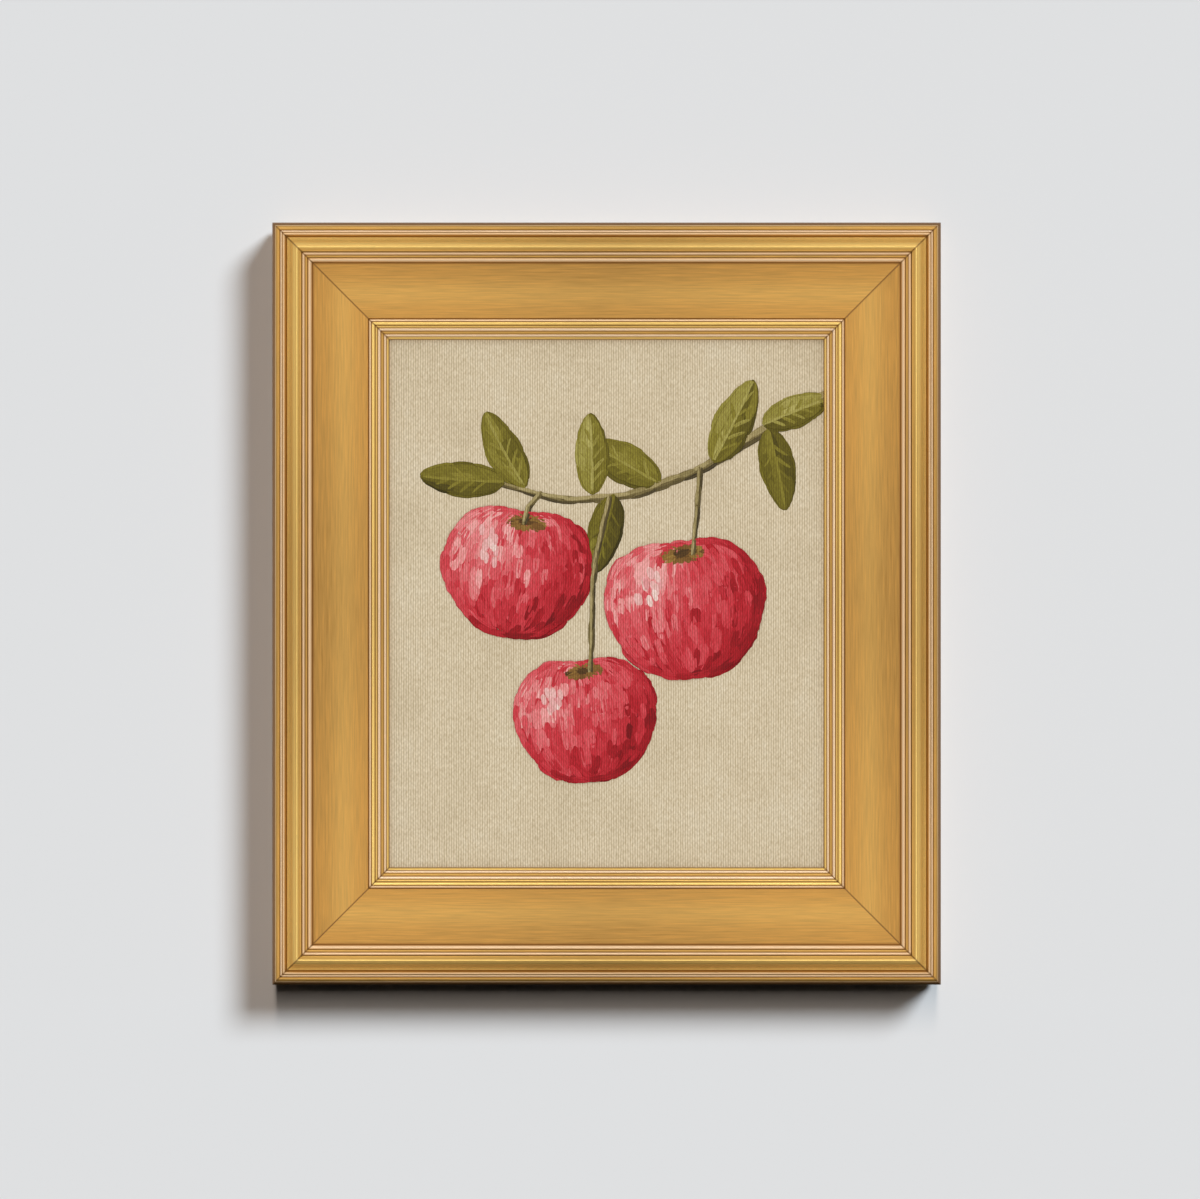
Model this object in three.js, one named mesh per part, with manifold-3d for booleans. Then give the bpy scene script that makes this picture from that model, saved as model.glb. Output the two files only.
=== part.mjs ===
// A small oil painting on stretched canvas in a gilded, mitred wooden frame, ready to hang on a wall.
//
// Millimetres, +Z up. The picture faces -Y and the wall is the plane y = 0. The origin is the point
// where the wall's nail carries the picture: the middle notch of the sawtooth hanger.
//
// The frame is four lengths of one reeded moulding, mitred, glued and V-nailed at the corners. The
// canvas is a standard 10 x 12 inch one: cloth folded round four stretcher bars, stapled at the back
// and tightened with corner keys. Four offset clips hold it in the frame's rabbet.
import * as THREE from "three";
import { mergeVertices } from "three/addons/utils/BufferGeometryUtils.js";
import Module from "manifold-3d";

const wasm = await Module();
wasm.setup();

// ---------------------------------------------------------------- driving dimensions
const FIT = 0.3; // clearance between pieces that touch
const SIGHT_W = 242; // opening that shows the painting
const SIGHT_H = 294;
const RAIL_W = 65; // width of the moulding's face
const RABBET_W = 7; // step behind the sight edge that the canvas sits in
const RABBET_D = 17.5;
const HANG_DROP = 27; // from the frame's top edge to the nail

// The moulding's profile from the outer edge inwards: [shape, across, height, rise]. Each shape ends
// at that point. A reed is a half-round bead that stands rise above the line between its two feet.
const MOULDING = [
  ["line", 0, 21],
  ["shoulder", 2.4, 29.4],
  ["reed", 4.9, 30.3, 1.25],
  ["reed", 6.1, 30.6, 0.55],
  ["reed", 7.8, 30.7, 0.85],
  ["line", 8.6, 29.6],
  ["ogee", 13.4, 35.1],
  ["reed", 17.1, 31.8, 1.5],
  ["reed", 18.9, 31.3, 0.8],
  ["reed", 20.3, 30.7, 0.5],
  ["reed", 22.7, 29.9, 1.05],
  ["line", 23.3, 29.2],
  ["cove", 53.2, 24.7, 0.9],
  ["line", 53.8, 24.1],
  ["reed", 55.3, 24.5, 0.7],
  ["reed", 57.4, 23.9, 1.2],
  ["reed", 58.8, 23.2, 0.55],
  ["reed", 60.5, 22.3, 0.85],
  ["reed", 62.1, 21.4, 0.35],
  ["reed", 63.6, 20.4, 0.75],
  ["reed", RAIL_W, 19.3, 0.5],
];
const CURVE_STEPS = { reed: 6, shoulder: 6, ogee: 8, cove: 12 };
const OGEE_SWING = 0.1; // how far an ogee swings off its chord, as a share of its rise

const CANVAS_W = 254; // a 10 x 12 inch canvas
const CANVAS_H = 305;
const CLOTH_T = 0.7;
const TURNOVER_W = 22; // cloth folded over the back of the bars
const BAR = { width: 38, thick: 18, lip: 4, step: 0.9, fall: 3, round: 1.5, arris: 0.8 };
const KEY = { length: 25, wide: 12, narrow: 6.5, thick: 3.2, out: 7, side: 1.5, depths: [3.4, 9.4] };
const STAPLE = { crown: 10.5, leg: 6, wide: 1.2, thick: 0.6, across: 10, corner: 34 };
const STAPLES = { top: 4, right: 5, bottom: 4, left: 5 };

const VNAIL = { leg: 7, thick: 0.6, deep: 9.7, across: [16, 44] }; // across from the outer edge
const SCREW = { shank: 1.5, head: 3.3, headH: 2.1, length: 14, point: 4, crown: 0.12 };
const RECESS = { arm: 0.35, reach: 2, deep: 1.2 }; // the cross in a screw's head
const CLIP = { width: 14, plate: 1.2, tail: 40, screwAt: 48, ramp: 3, tip: 74, along: [-90, 90] };
const HANGER = { length: 52, height: 10, plate: 0.8, stand: 3.2, flat: 11, ramp: 3 };
const TOOTH = { pitch: 4, depth: 2.2, half: 1.7, seat: 0.5, count: 7 };
const NAIL = { shank: 0.7, head: 1.7, headH: 0.7, length: 14, point: 2, crown: 0.2 };
const BUMPER = { height: 6, base: 5.5, top: 3.2, round: 0.6, inset: 34, up: 16 };
const HOLE_SIDES = 16;
const BUMPER_SIDES = 24;

// ---------------------------------------------------------------- derived dimensions
const OUTER_W = SIGHT_W + 2 * RAIL_W;
const OUTER_H = SIGHT_H + 2 * RAIL_W;
const BACK_Y = -BUMPER.height; // the moulding's back face
const CENTRE_Z = HANG_DROP - OUTER_H / 2;
const CLOTH_FRONT = RABBET_D - FIT; // heights are measured forwards from the moulding's back face
const BAR_FRONT = CLOTH_FRONT - CLOTH_T - FIT;
const BAR_BACK = BAR_FRONT - BAR.thick;
const CLOTH_BACK = BAR_BACK - FIT - CLOTH_T;
// The canvas stands on the rabbet of the bottom rail, so its play is all at the top.
const CANVAS_Z = CENTRE_Z - (SIGHT_H + 2 * RABBET_W - CANVAS_H) / 2 + FIT;
const EDGE_INSET = CLOTH_T + FIT; // from the cloth's outer face to the bars'
const BARS_W = CANVAS_W - 2 * EDGE_INSET;
const BARS_H = CANVAS_H - 2 * EDGE_INSET;
const RABBET_WALL = RAIL_W - RABBET_W;
const HANGER_NAIL_X = HANGER.length / 2 - HANGER.flat / 2;
const HANGER_NAIL_Z = HANGER.height / 2 - TOOTH.depth;
const PAST = 2; // how far a cutting tool runs past the face that it opens

// ---------------------------------------------------------------- materials
const finish = (color, roughness, metalness) =>
  new THREE.MeshStandardMaterial({ color, roughness, metalness });
const gilt = finish(0xc2934e, 0.38, 0.6);
const pine = finish(0xd9b98a, 0.75, 0);
const beech = finish(0xe3c79c, 0.7, 0);
const paintedCanvas = finish(0xcabb9c, 0.6, 0);
const zincSteel = finish(0xb9bcc0, 0.35, 1);
const brassPlate = finish(0xc9a24f, 0.32, 1);
const rubber = finish(0x2a2928, 0.8, 0);

// ---------------------------------------------------------------- solids
function solid(geometry) {
  const bare = geometry.index ? geometry.toNonIndexed() : geometry.clone();
  for (const name of Object.keys(bare.attributes)) {
    if (name !== "position") bare.deleteAttribute(name);
  }
  const merged = mergeVertices(bare, 1e-4);
  return new wasm.Manifold(
    new wasm.Mesh({
      numProp: 3,
      vertProperties: merged.attributes.position.array,
      triVerts: new Uint32Array(merged.index.array),
    }),
  );
}

function geometryOf(made) {
  const mesh = made.getMesh();
  return new THREE.BufferGeometry()
    .setAttribute("position", new THREE.BufferAttribute(mesh.vertProperties, 3))
    .setIndex(new THREE.BufferAttribute(mesh.triVerts, 1));
}

const cut = (geometry, tools) =>
  geometryOf(tools.reduce((rest, tool) => rest.subtract(solid(tool)), solid(geometry)));

// A box from its lowest to its highest corner.
function block([x0, y0, z0], [x1, y1, z1]) {
  return new THREE.BoxGeometry(x1 - x0, y1 - y0, z1 - z0).translate(
    (x0 + x1) / 2,
    (y0 + y1) / 2,
    (z0 + z1) / 2,
  );
}

function named(name, geometry, material) {
  const mesh = new THREE.Mesh(geometry, material);
  mesh.name = name;
  return mesh;
}

// A prism of the outline [[across, height], ...], mitred at 45 degrees at both ends. It runs along X
// under the line z = 0, which is its outer edge: across goes down, height goes to the front (-Y).
function mitredPrism(outline, length, gap) {
  const shape = new THREE.Shape(outline.map(([u, h]) => new THREE.Vector2(u, h)));
  const geometry = new THREE.ExtrudeGeometry(shape, { depth: 1, bevelEnabled: false });
  const place = geometry.getAttribute("position");
  for (let i = 0; i < place.count; i++) {
    const u = place.getX(i);
    const h = place.getY(i);
    const end = place.getZ(i) > 0.5 ? -1 : 1;
    place.setXYZ(i, end * (length / 2 - u - gap / Math.SQRT2), -h, -u);
  }
  return geometry;
}

// The four sides of a rectangle, each a child turned about the picture's centre line.
const SIDES = ["top", "right", "bottom", "left"];
function rectangle(width, height, z, makeSide) {
  const group = new THREE.Group();
  group.position.set(0, BACK_Y, z);
  SIDES.forEach((side, k) => {
    const upright = k % 2 === 1;
    const turned = new THREE.Group();
    turned.rotation.y = (k * Math.PI) / 2;
    const edge = new THREE.Group();
    edge.position.z = (upright ? width : height) / 2;
    edge.add(...makeSide(side, upright ? height : width));
    turned.add(edge);
    group.add(turned);
  });
  return group;
}

// ---------------------------------------------------------------- moulding
function mouldingFace() {
  const points = [[0, 0]];
  for (const [kind, u1, h1, rise] of MOULDING) {
    const [u0, h0] = points[points.length - 1];
    const steps = CURVE_STEPS[kind] || 1;
    for (let i = 1; i <= steps; i++) {
      const t = i / steps;
      const turn = Math.PI * t;
      let across = t;
      let up = t;
      let bulge = 0;
      if (kind === "reed") {
        across = (1 - Math.cos(turn)) / 2;
        up = across;
        bulge = rise * Math.sin(turn);
      } else if (kind === "shoulder") {
        across = 1 - Math.cos(turn / 2);
        up = Math.sin(turn / 2);
      } else if (kind === "ogee") {
        up = t - Math.sin(2 * turn) * OGEE_SWING;
      } else if (kind === "cove") {
        bulge = -rise * Math.sin(turn);
      }
      points.push([u0 + (u1 - u0) * across, h0 + (h1 - h0) * up + bulge]);
    }
  }
  return points;
}

const railOutline = [
  ...mouldingFace(),
  [RAIL_W, RABBET_D],
  [RABBET_WALL, RABBET_D],
  [RABBET_WALL, 0],
];

// V-nails cross each mitre from the back, with one leg in each rail.
function vnailPockets(length) {
  const { leg, thick, deep, across } = VNAIL;
  const pockets = [];
  for (const u of across) {
    for (const end of [-1, 1]) {
      const tip = end * (length / 2 - u - leg - FIT);
      const open = end * (length / 2 - u + PAST);
      pockets.push(
        block(
          [Math.min(tip, open), -deep - 2 * FIT, -u - thick / 2 - FIT],
          [Math.max(tip, open), PAST, -u + thick / 2 + FIT],
        ),
      );
    }
  }
  return pockets;
}

// An L of strip in plan, its outer elbow on the mitre. It belongs to the right-hand end of a rail.
function vnail(length, u) {
  const t = VNAIL.thick / 2;
  const leg = VNAIL.leg;
  const shape = new THREE.Shape([
    new THREE.Vector2(-leg, t),
    new THREE.Vector2(-leg, -t),
    new THREE.Vector2(-t, -t),
    new THREE.Vector2(-t, -leg),
    new THREE.Vector2(t, -leg),
    new THREE.Vector2(t, t),
  ]);
  return new THREE.ExtrudeGeometry(shape, { depth: VNAIL.deep, bevelEnabled: false })
    .rotateX(Math.PI / 2)
    .translate(length / 2 - u, -FIT, -u);
}

// ---------------------------------------------------------------- hanging and fixing hardware
// A turned piece: [radius, depth] pairs, the depth running from the head (0) into the wood (-Y).
const lathed = (profile, sides) =>
  new THREE.LatheGeometry(
    profile.map(([r, d]) => new THREE.Vector2(r, -d)),
    sides,
  );
const fastener = ({ shank, head, headH, length, point, crown }) =>
  lathed(
    [
      [0, length],
      [shank, length - point],
      [shank, headH],
      [head, headH],
      [head, headH / 2],
      [head * 0.7, headH * crown],
      [0, 0],
    ],
    HOLE_SIDES,
  );
// A blind hole that starts above the wood's face and ends at that depth below it.
const hole = (radius, depth) =>
  new THREE.CylinderGeometry(radius, radius, depth + PAST, HOLE_SIDES).translate(
    0,
    (PAST - depth) / 2,
    0,
  );
const boreThrough = (radius) =>
  new THREE.CylinderGeometry(radius, radius, 10 * PAST, HOLE_SIDES);

// Clip screws are pan heads with a cross recess.
function clipScrew() {
  const { arm, reach, deep } = RECESS;
  const slots = [
    block([-reach, -deep, -arm], [reach, PAST, arm]),
    block([-arm, -deep, -reach], [arm, PAST, reach]),
  ];
  return cut(fastener(SCREW), slots);
}

// The clip's section runs from its screwed flange on the moulding, over the offset, to the flange
// that bears on the back of the canvas. Depths are behind the moulding's back face.
const CLIP_LOW = FIT;
const CLIP_HIGH = -CLOTH_BACK + FIT;
function clip() {
  const { tail, tip, plate, width, ramp } = CLIP;
  const land = RABBET_WALL;
  const rise = land - ramp;
  const slant = plate / 2; // keeps the ramp as thick as the flanges
  const outline = [
    [tail, CLIP_LOW],
    [rise, CLIP_LOW],
    [land, CLIP_HIGH],
    [tip, CLIP_HIGH],
    [tip, CLIP_HIGH + plate],
    [land - slant, CLIP_HIGH + plate],
    [rise - slant, CLIP_LOW + plate],
    [tail, CLIP_LOW + plate],
  ];
  const shape = new THREE.Shape(outline.map(([u, d]) => new THREE.Vector2(u, d)));
  const strip = new THREE.ExtrudeGeometry(shape, { depth: width, bevelEnabled: false });
  // across the moulding goes down (-Z), depth goes to the wall (+Y)
  strip.translate(0, 0, -width / 2);
  strip.applyMatrix4(new THREE.Matrix4().set(0, 0, 1, 0, 0, 1, 0, 0, -1, 0, 0, 0, 0, 0, 0, 1));
  return cut(strip, [boreThrough(SCREW.shank + FIT).translate(0, 0, -CLIP.screwAt)]);
}

// A strip bent to stand off the moulding between its two nailed ends, with teeth on its lower edge.
// The middle notch's top is the origin.
function hanger() {
  const { length, height, plate, stand, flat, ramp } = HANGER;
  const low = BACK_Y + FIT;
  const half = length / 2;
  const near = [
    [-half, low],
    [-half + flat, low],
    [-half + flat + ramp, low + stand],
  ];
  const inner = [...near, ...near.map(([x, y]) => [-x, y]).reverse()];
  const outline = [...inner, ...inner.map(([x, y]) => [x, y + plate]).reverse()];
  const shape = new THREE.Shape(outline.map(([x, y]) => new THREE.Vector2(x, y)));
  const strip = new THREE.ExtrudeGeometry(shape, { depth: height, bevelEnabled: false });
  strip.translate(0, 0, -TOOTH.depth);
  const tools = [];
  for (let i = 0; i < TOOTH.count; i++) {
    const x = (i - (TOOTH.count - 1) / 2) * TOOTH.pitch;
    const notch = new THREE.Shape([
      new THREE.Vector2(x - TOOTH.half, -TOOTH.depth - PAST),
      new THREE.Vector2(x + TOOTH.half, -TOOTH.depth - PAST),
      new THREE.Vector2(x + TOOTH.half, -TOOTH.depth),
      new THREE.Vector2(x + TOOTH.seat, 0),
      new THREE.Vector2(x - TOOTH.seat, 0),
      new THREE.Vector2(x - TOOTH.half, -TOOTH.depth),
    ]);
    const prism = new THREE.ExtrudeGeometry(notch, { depth: 10 * PAST, bevelEnabled: false });
    tools.push(prism.rotateX(Math.PI / 2).translate(0, PAST, 0));
  }
  for (const end of [-1, 1]) {
    tools.push(boreThrough(NAIL.shank + FIT).translate(end * HANGER_NAIL_X, BACK_Y, HANGER_NAIL_Z));
  }
  return cut(strip, tools);
}

function bumper() {
  const { height, base, top, round } = BUMPER;
  return lathed(
    [
      [0, height - FIT],
      [base, height - FIT],
      [base, height * 0.7],
      [base - round, height / 3],
      [top + round, round],
      [top, 0],
      [0, 0],
    ],
    BUMPER_SIDES,
  );
}

// ---------------------------------------------------------------- frame
function rail(side, length) {
  const tools = vnailPockets(length);
  if (side === "top") {
    for (const end of [-1, 1]) {
      const bore = hole(NAIL.shank + FIT, NAIL.length);
      tools.push(bore.translate(end * HANGER_NAIL_X, 0, HANGER_NAIL_Z - HANG_DROP));
    }
  }
  if (side === "left" || side === "right") {
    for (const along of CLIP.along) {
      tools.push(hole(SCREW.shank + FIT, SCREW.length).translate(along, 0, -CLIP.screwAt));
    }
  }
  return cut(mitredPrism(railOutline, length, FIT), tools);
}

const picture = new THREE.Group();

picture.add(
  rectangle(OUTER_W, OUTER_H, CENTRE_Z, (side, length) => {
    const pieces = [named(`rail_${side}`, rail(side, length), gilt)];
    VNAIL.across.forEach((u, i) => {
      pieces.push(named(`vnail_${side}_${i + 1}`, vnail(length, u), zincSteel));
    });
    if (side === "left" || side === "right") {
      CLIP.along.forEach((along, i) => {
        const held = named(`clip_${side}_${i + 1}`, clip(), zincSteel);
        held.position.x = along;
        const screw = named(`clip_screw_${side}_${i + 1}`, clipScrew(), zincSteel);
        screw.position.set(along, CLIP_LOW + CLIP.plate + FIT + SCREW.headH, -CLIP.screwAt);
        pieces.push(held, screw);
      });
    }
    return pieces;
  }),
);

// ---------------------------------------------------------------- stretcher
// A bar bears on the cloth only along its outer edge: its front slopes away inwards.
const barOutline = [
  [0, BAR_BACK],
  [0, BAR_FRONT - BAR.arris],
  [BAR.arris, BAR_FRONT],
  [BAR.lip, BAR_FRONT],
  [BAR.lip + 2 * BAR.step, BAR_FRONT - BAR.step],
  [BAR.width - BAR.round, BAR_FRONT - BAR.fall],
  [BAR.width, BAR_FRONT - BAR.fall - BAR.round],
  [BAR.width, BAR_BACK + BAR.arris],
  [BAR.width - BAR.arris, BAR_BACK],
];

// Each corner has two keys, one in the end of each bar, at different depths. A key points to the
// bar's outer edge, with its straight side next to the mitre. grow makes it the tool for its slot.
function key(length, end, grow) {
  const depth = KEY.depths[end > 0 ? 0 : 1];
  const near = length / 2 - BAR.width - KEY.side;
  const low = -(BAR.width + KEY.out);
  const corners = [
    [near + grow, low - grow],
    [near + grow, low + KEY.length + grow],
    [near - KEY.narrow - grow, low + KEY.length + grow],
    [near - KEY.wide - grow, low - grow],
  ];
  const shape = new THREE.Shape(corners.map(([x, z]) => new THREE.Vector2(end * x, z)));
  return new THREE.ExtrudeGeometry(shape, { depth: KEY.thick + 2 * grow, bevelEnabled: false })
    .rotateX(Math.PI / 2)
    .translate(0, grow - BAR_BACK - depth, 0);
}

function staplePlaces(side, length) {
  const count = STAPLES[side];
  const span = length - 2 * STAPLE.corner;
  return [...Array(count).keys()].map((i) => -span / 2 + (span * i) / (count - 1));
}

// A staple with its crown on the cloth and its legs in the bar, seen along the bar.
function staple() {
  const { crown, leg, wide, thick } = STAPLE;
  const shape = new THREE.Shape([
    new THREE.Vector2(-crown / 2, thick),
    new THREE.Vector2(-crown / 2, -leg),
    new THREE.Vector2(-crown / 2 + thick, -leg),
    new THREE.Vector2(-crown / 2 + thick, 0),
    new THREE.Vector2(crown / 2 - thick, 0),
    new THREE.Vector2(crown / 2 - thick, -leg),
    new THREE.Vector2(crown / 2, -leg),
    new THREE.Vector2(crown / 2, thick),
  ]);
  return new THREE.ExtrudeGeometry(shape, { depth: wide, bevelEnabled: false }).translate(
    0,
    -CLOTH_BACK + FIT,
    -wide / 2,
  );
}

function legHoles(along, across) {
  const { crown, leg, wide, thick } = STAPLE;
  return [-1, 1].map((end) => {
    const middle = along + (end * (crown - thick)) / 2;
    return block(
      [middle - thick / 2 - FIT, -CLOTH_BACK - leg, -across - wide / 2 - FIT],
      [middle + thick / 2 + FIT, -CLOTH_BACK + PAST, -across + wide / 2 + FIT],
    );
  });
}

function bar(side, length) {
  const across = STAPLE.across - EDGE_INSET;
  const tools = staplePlaces(side, length + 2 * EDGE_INSET).flatMap((x) => legHoles(x, across));
  tools.push(key(length, 1, FIT), key(length, -1, FIT));
  return cut(mitredPrism(barOutline, length, FIT), tools);
}

picture.add(
  rectangle(BARS_W, BARS_H, CANVAS_Z, (side, length) => [
    named(`stretcher_${side}`, bar(side, length), pine),
    named(`key_${side}_1`, key(length, 1, 0), beech),
    named(`key_${side}_2`, key(length, -1, 0), beech),
  ]),
);

// ---------------------------------------------------------------- canvas and staples
const stapleHoles = [];
picture.add(
  rectangle(CANVAS_W, CANVAS_H, CANVAS_Z, (side, length) =>
    staplePlaces(side, length).map((along, i) => {
      const made = named(`staple_${side}_${i + 1}`, staple(), zincSteel);
      made.position.set(along, 0, -STAPLE.across);
      return made;
    }),
  ),
);
SIDES.forEach((side, k) => {
  const upright = k % 2 === 1;
  const place = new THREE.Matrix4()
    .makeRotationY((k * Math.PI) / 2)
    .multiply(new THREE.Matrix4().makeTranslation(0, 0, (upright ? CANVAS_W : CANVAS_H) / 2));
  for (const along of staplePlaces(side, upright ? CANVAS_H : CANVAS_W)) {
    stapleHoles.push(...legHoles(along, STAPLE.across).map((g) => g.applyMatrix4(place)));
  }
});

function cloth() {
  const x = CANVAS_W / 2;
  const z = CANVAS_H / 2;
  const wall = CLOTH_T;
  const outside = block([-x, -CLOTH_FRONT, -z], [x, -CLOTH_BACK, z]);
  const inside = block(
    [-x + wall, -CLOTH_FRONT + wall, -z + wall],
    [x - wall, -CLOTH_BACK - wall, z - wall],
  );
  const behind = block(
    [-x + TURNOVER_W, -CLOTH_BACK - 2 * wall, -z + TURNOVER_W],
    [x - TURNOVER_W, -CLOTH_BACK + PAST, z - TURNOVER_W],
  );
  return cut(outside, [inside, behind, ...stapleHoles]);
}
const canvas = named("canvas", cloth(), paintedCanvas);
canvas.position.set(0, BACK_Y, CANVAS_Z);
picture.add(canvas);

// ---------------------------------------------------------------- hanger and bumpers
picture.add(named("sawtooth_hanger", hanger(), brassPlate));
["left", "right"].forEach((side, i) => {
  const end = i ? 1 : -1;
  const nail = named(`hanger_nail_${side}`, fastener(NAIL), brassPlate);
  const headTop = BACK_Y + FIT + HANGER.plate + FIT + NAIL.headH;
  nail.position.set(end * HANGER_NAIL_X, headTop, HANGER_NAIL_Z);
  const pad = named(`bumper_${side}`, bumper(), rubber);
  pad.position.set(end * (OUTER_W / 2 - BUMPER.inset), 0, HANG_DROP - OUTER_H + BUMPER.up);
  picture.add(nail, pad);
});

export default picture;
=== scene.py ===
# A small oil painting on stretched canvas in a gilded wooden frame, hung flat on a pale wall.
#
# Metres, +Z up. The picture faces -Y, the wall is the plane y = 0, and the origin is the notch of
# the sawtooth hanger that the wall's nail carries. The sections follow the object as it is put
# together: moulding, corner nails, stretcher, canvas, paint, and what fixes and hangs them.
import math

import bmesh
import bpy
import numpy as np
from mathutils import Euler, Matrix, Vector


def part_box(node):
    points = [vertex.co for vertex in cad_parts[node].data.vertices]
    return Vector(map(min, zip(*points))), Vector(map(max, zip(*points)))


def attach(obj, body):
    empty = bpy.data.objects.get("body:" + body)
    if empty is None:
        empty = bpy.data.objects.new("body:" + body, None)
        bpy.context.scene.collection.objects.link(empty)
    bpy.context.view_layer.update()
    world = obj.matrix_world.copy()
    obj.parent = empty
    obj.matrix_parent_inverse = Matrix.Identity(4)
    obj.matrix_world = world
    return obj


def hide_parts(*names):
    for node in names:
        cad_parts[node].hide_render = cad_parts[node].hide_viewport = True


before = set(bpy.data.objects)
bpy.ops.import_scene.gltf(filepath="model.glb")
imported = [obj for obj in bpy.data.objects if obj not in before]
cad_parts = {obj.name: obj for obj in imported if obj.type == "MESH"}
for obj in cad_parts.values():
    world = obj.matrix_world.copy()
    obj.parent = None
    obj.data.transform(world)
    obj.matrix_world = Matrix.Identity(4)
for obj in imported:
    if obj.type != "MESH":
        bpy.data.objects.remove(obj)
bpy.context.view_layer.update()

# ------------------------------------------------------------------------------------ camera
# The picture is seen square on and from far away, a little right of and below the lens's axis.
MM = 0.001
PHOTO_WIDTH_PX = 1200
PHOTO_MM_PER_PX = 0.5547  # at the frame's rim
RIM_HEIGHT = 29.4 * MM  # of the rim over the wood's back face
AXIS_LEFT_PX = 6.6  # how far the frame's centre lies right of the picture's centre
AXIS_UP_PX = 4.1
LENS_MM = 135
SENSOR_MM = 36

FRAME_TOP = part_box("rail_top")[1].z
FRAME_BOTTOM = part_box("rail_bottom")[0].z
FRAME_H = FRAME_TOP - FRAME_BOTTOM
FRAME_W = 2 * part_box("rail_right")[1].x
FRAME_CENTRE_Z = (FRAME_TOP + FRAME_BOTTOM) / 2
WOOD_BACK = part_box("rail_top")[1].y
CREST_HEIGHT = WOOD_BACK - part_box("rail_top")[0].y

field_width = PHOTO_WIDTH_PX * PHOTO_MM_PER_PX * MM
camera = bpy.data.objects.new("camera", bpy.data.cameras.new("camera"))
camera.data.lens = LENS_MM
camera.data.sensor_width = SENSOR_MM
camera.data.sensor_fit = "HORIZONTAL"
camera.data.clip_end = 50
camera.location = (
    -AXIS_LEFT_PX * PHOTO_MM_PER_PX * MM,
    WOOD_BACK - RIM_HEIGHT - field_width * LENS_MM / SENSOR_MM,
    FRAME_CENTRE_Z + AXIS_UP_PX * PHOTO_MM_PER_PX * MM,
)
camera.rotation_euler = (math.radians(90), 0, 0)
bpy.context.scene.collection.objects.link(camera)
bpy.context.scene.camera = camera
bpy.context.scene.view_settings.view_transform = "Standard"

# ------------------------------------------------------------------------------------ wall and floor
# A pale painted wall right behind the picture, and a pale floor well below it. The wall has an
# opening a little smaller than the frame, which hides it, so that the picture's back can be seen.
# The opening's edge is turned forwards to the wood, so that no light gets through.
WALL_HEX = "#e3e3e3"
FLOOR_HEX = "#d9d8d6"
WALL_REACH = 3.2
FLOOR_Z = -1.7
FLOOR_REACH = 1.6
OPENING_INSET = 9 * MM


def srgb(code):
    """A colour written as sRGB hex, as the linear values that Blender works in."""
    parts = [int(code[i : i + 2], 16) / 255 for i in (1, 3, 5)]
    linear = [c / 12.92 if c <= 0.04045 else ((c + 0.055) / 1.055) ** 2.4 for c in parts]
    return (*linear, 1.0)


def node(tree, kind, inputs=None, **settings):
    """Adds a node. inputs gives each socket, by name or number, a value or what it is linked to."""
    made = tree.nodes.new(kind)
    for name, value in settings.items():
        setattr(made, name, value)
    for socket, value in (inputs or {}).items():
        if isinstance(value, bpy.types.NodeSocket):
            tree.links.new(value, made.inputs[socket])
        else:
            made.inputs[socket].default_value = value
    return made


def new_material(name):
    """An empty material and its tree, with the output ready to take a surface."""
    material = bpy.data.materials.new(name)
    material.use_nodes = True
    material.node_tree.nodes.clear()
    return material, material.node_tree


def plain_paint(name, code):
    """Matt emulsion wall paint: no pattern at this scale, a dull even surface."""
    material, tree = new_material(name)
    shader = node(
        tree, "ShaderNodeBsdfPrincipled", {"Base Color": srgb(code), "Roughness": 0.9}
    )
    node(tree, "ShaderNodeOutputMaterial", {"Surface": shader.outputs[0]})
    return material


def mesh_object(name, points, faces, material):
    """A new object at the origin, with its place in its mesh."""
    mesh = bpy.data.meshes.new(name)
    mesh.from_pydata([tuple(p) for p in points], [], [tuple(f) for f in faces])
    mesh.materials.append(material)
    made = bpy.data.objects.new(name, mesh)
    bpy.context.scene.collection.objects.link(made)
    return made


hole = (
    (-FRAME_W / 2 + OPENING_INSET, FRAME_BOTTOM + OPENING_INSET),
    (FRAME_W / 2 - OPENING_INSET, FRAME_TOP - OPENING_INSET),
)
reach = ((-WALL_REACH, FLOOR_Z), (WALL_REACH, WALL_REACH))
ring = []
for ((x0, z0), (x1, z1)), y in ((reach, 0), (hole, 0), (hole, WOOD_BACK + 0.2 * MM)):
    ring += [(x0, y, z0), (x1, y, z0), (x1, y, z1), (x0, y, z1)]
wall_faces = [
    (4 * k + i, 4 * k + (i + 1) % 4, 4 * k + 4 + (i + 1) % 4, 4 * k + 4 + i)
    for k in (0, 1)
    for i in range(4)
]
wall = mesh_object("wall", ring, wall_faces, plain_paint("Matt wall paint", WALL_HEX))

floor_corners = [
    (-FLOOR_REACH, -FLOOR_REACH, FLOOR_Z),
    (FLOOR_REACH, -FLOOR_REACH, FLOOR_Z),
    (FLOOR_REACH, FLOOR_REACH, FLOOR_Z),
    (-FLOOR_REACH, FLOOR_REACH, FLOOR_Z),
]
floor = mesh_object(
    "floor", floor_corners, [(0, 1, 2, 3)], plain_paint("Matt floor paint", FLOOR_HEX)
)
floor.visible_diffuse = False  # so that no light comes up from it under the picture

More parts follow.
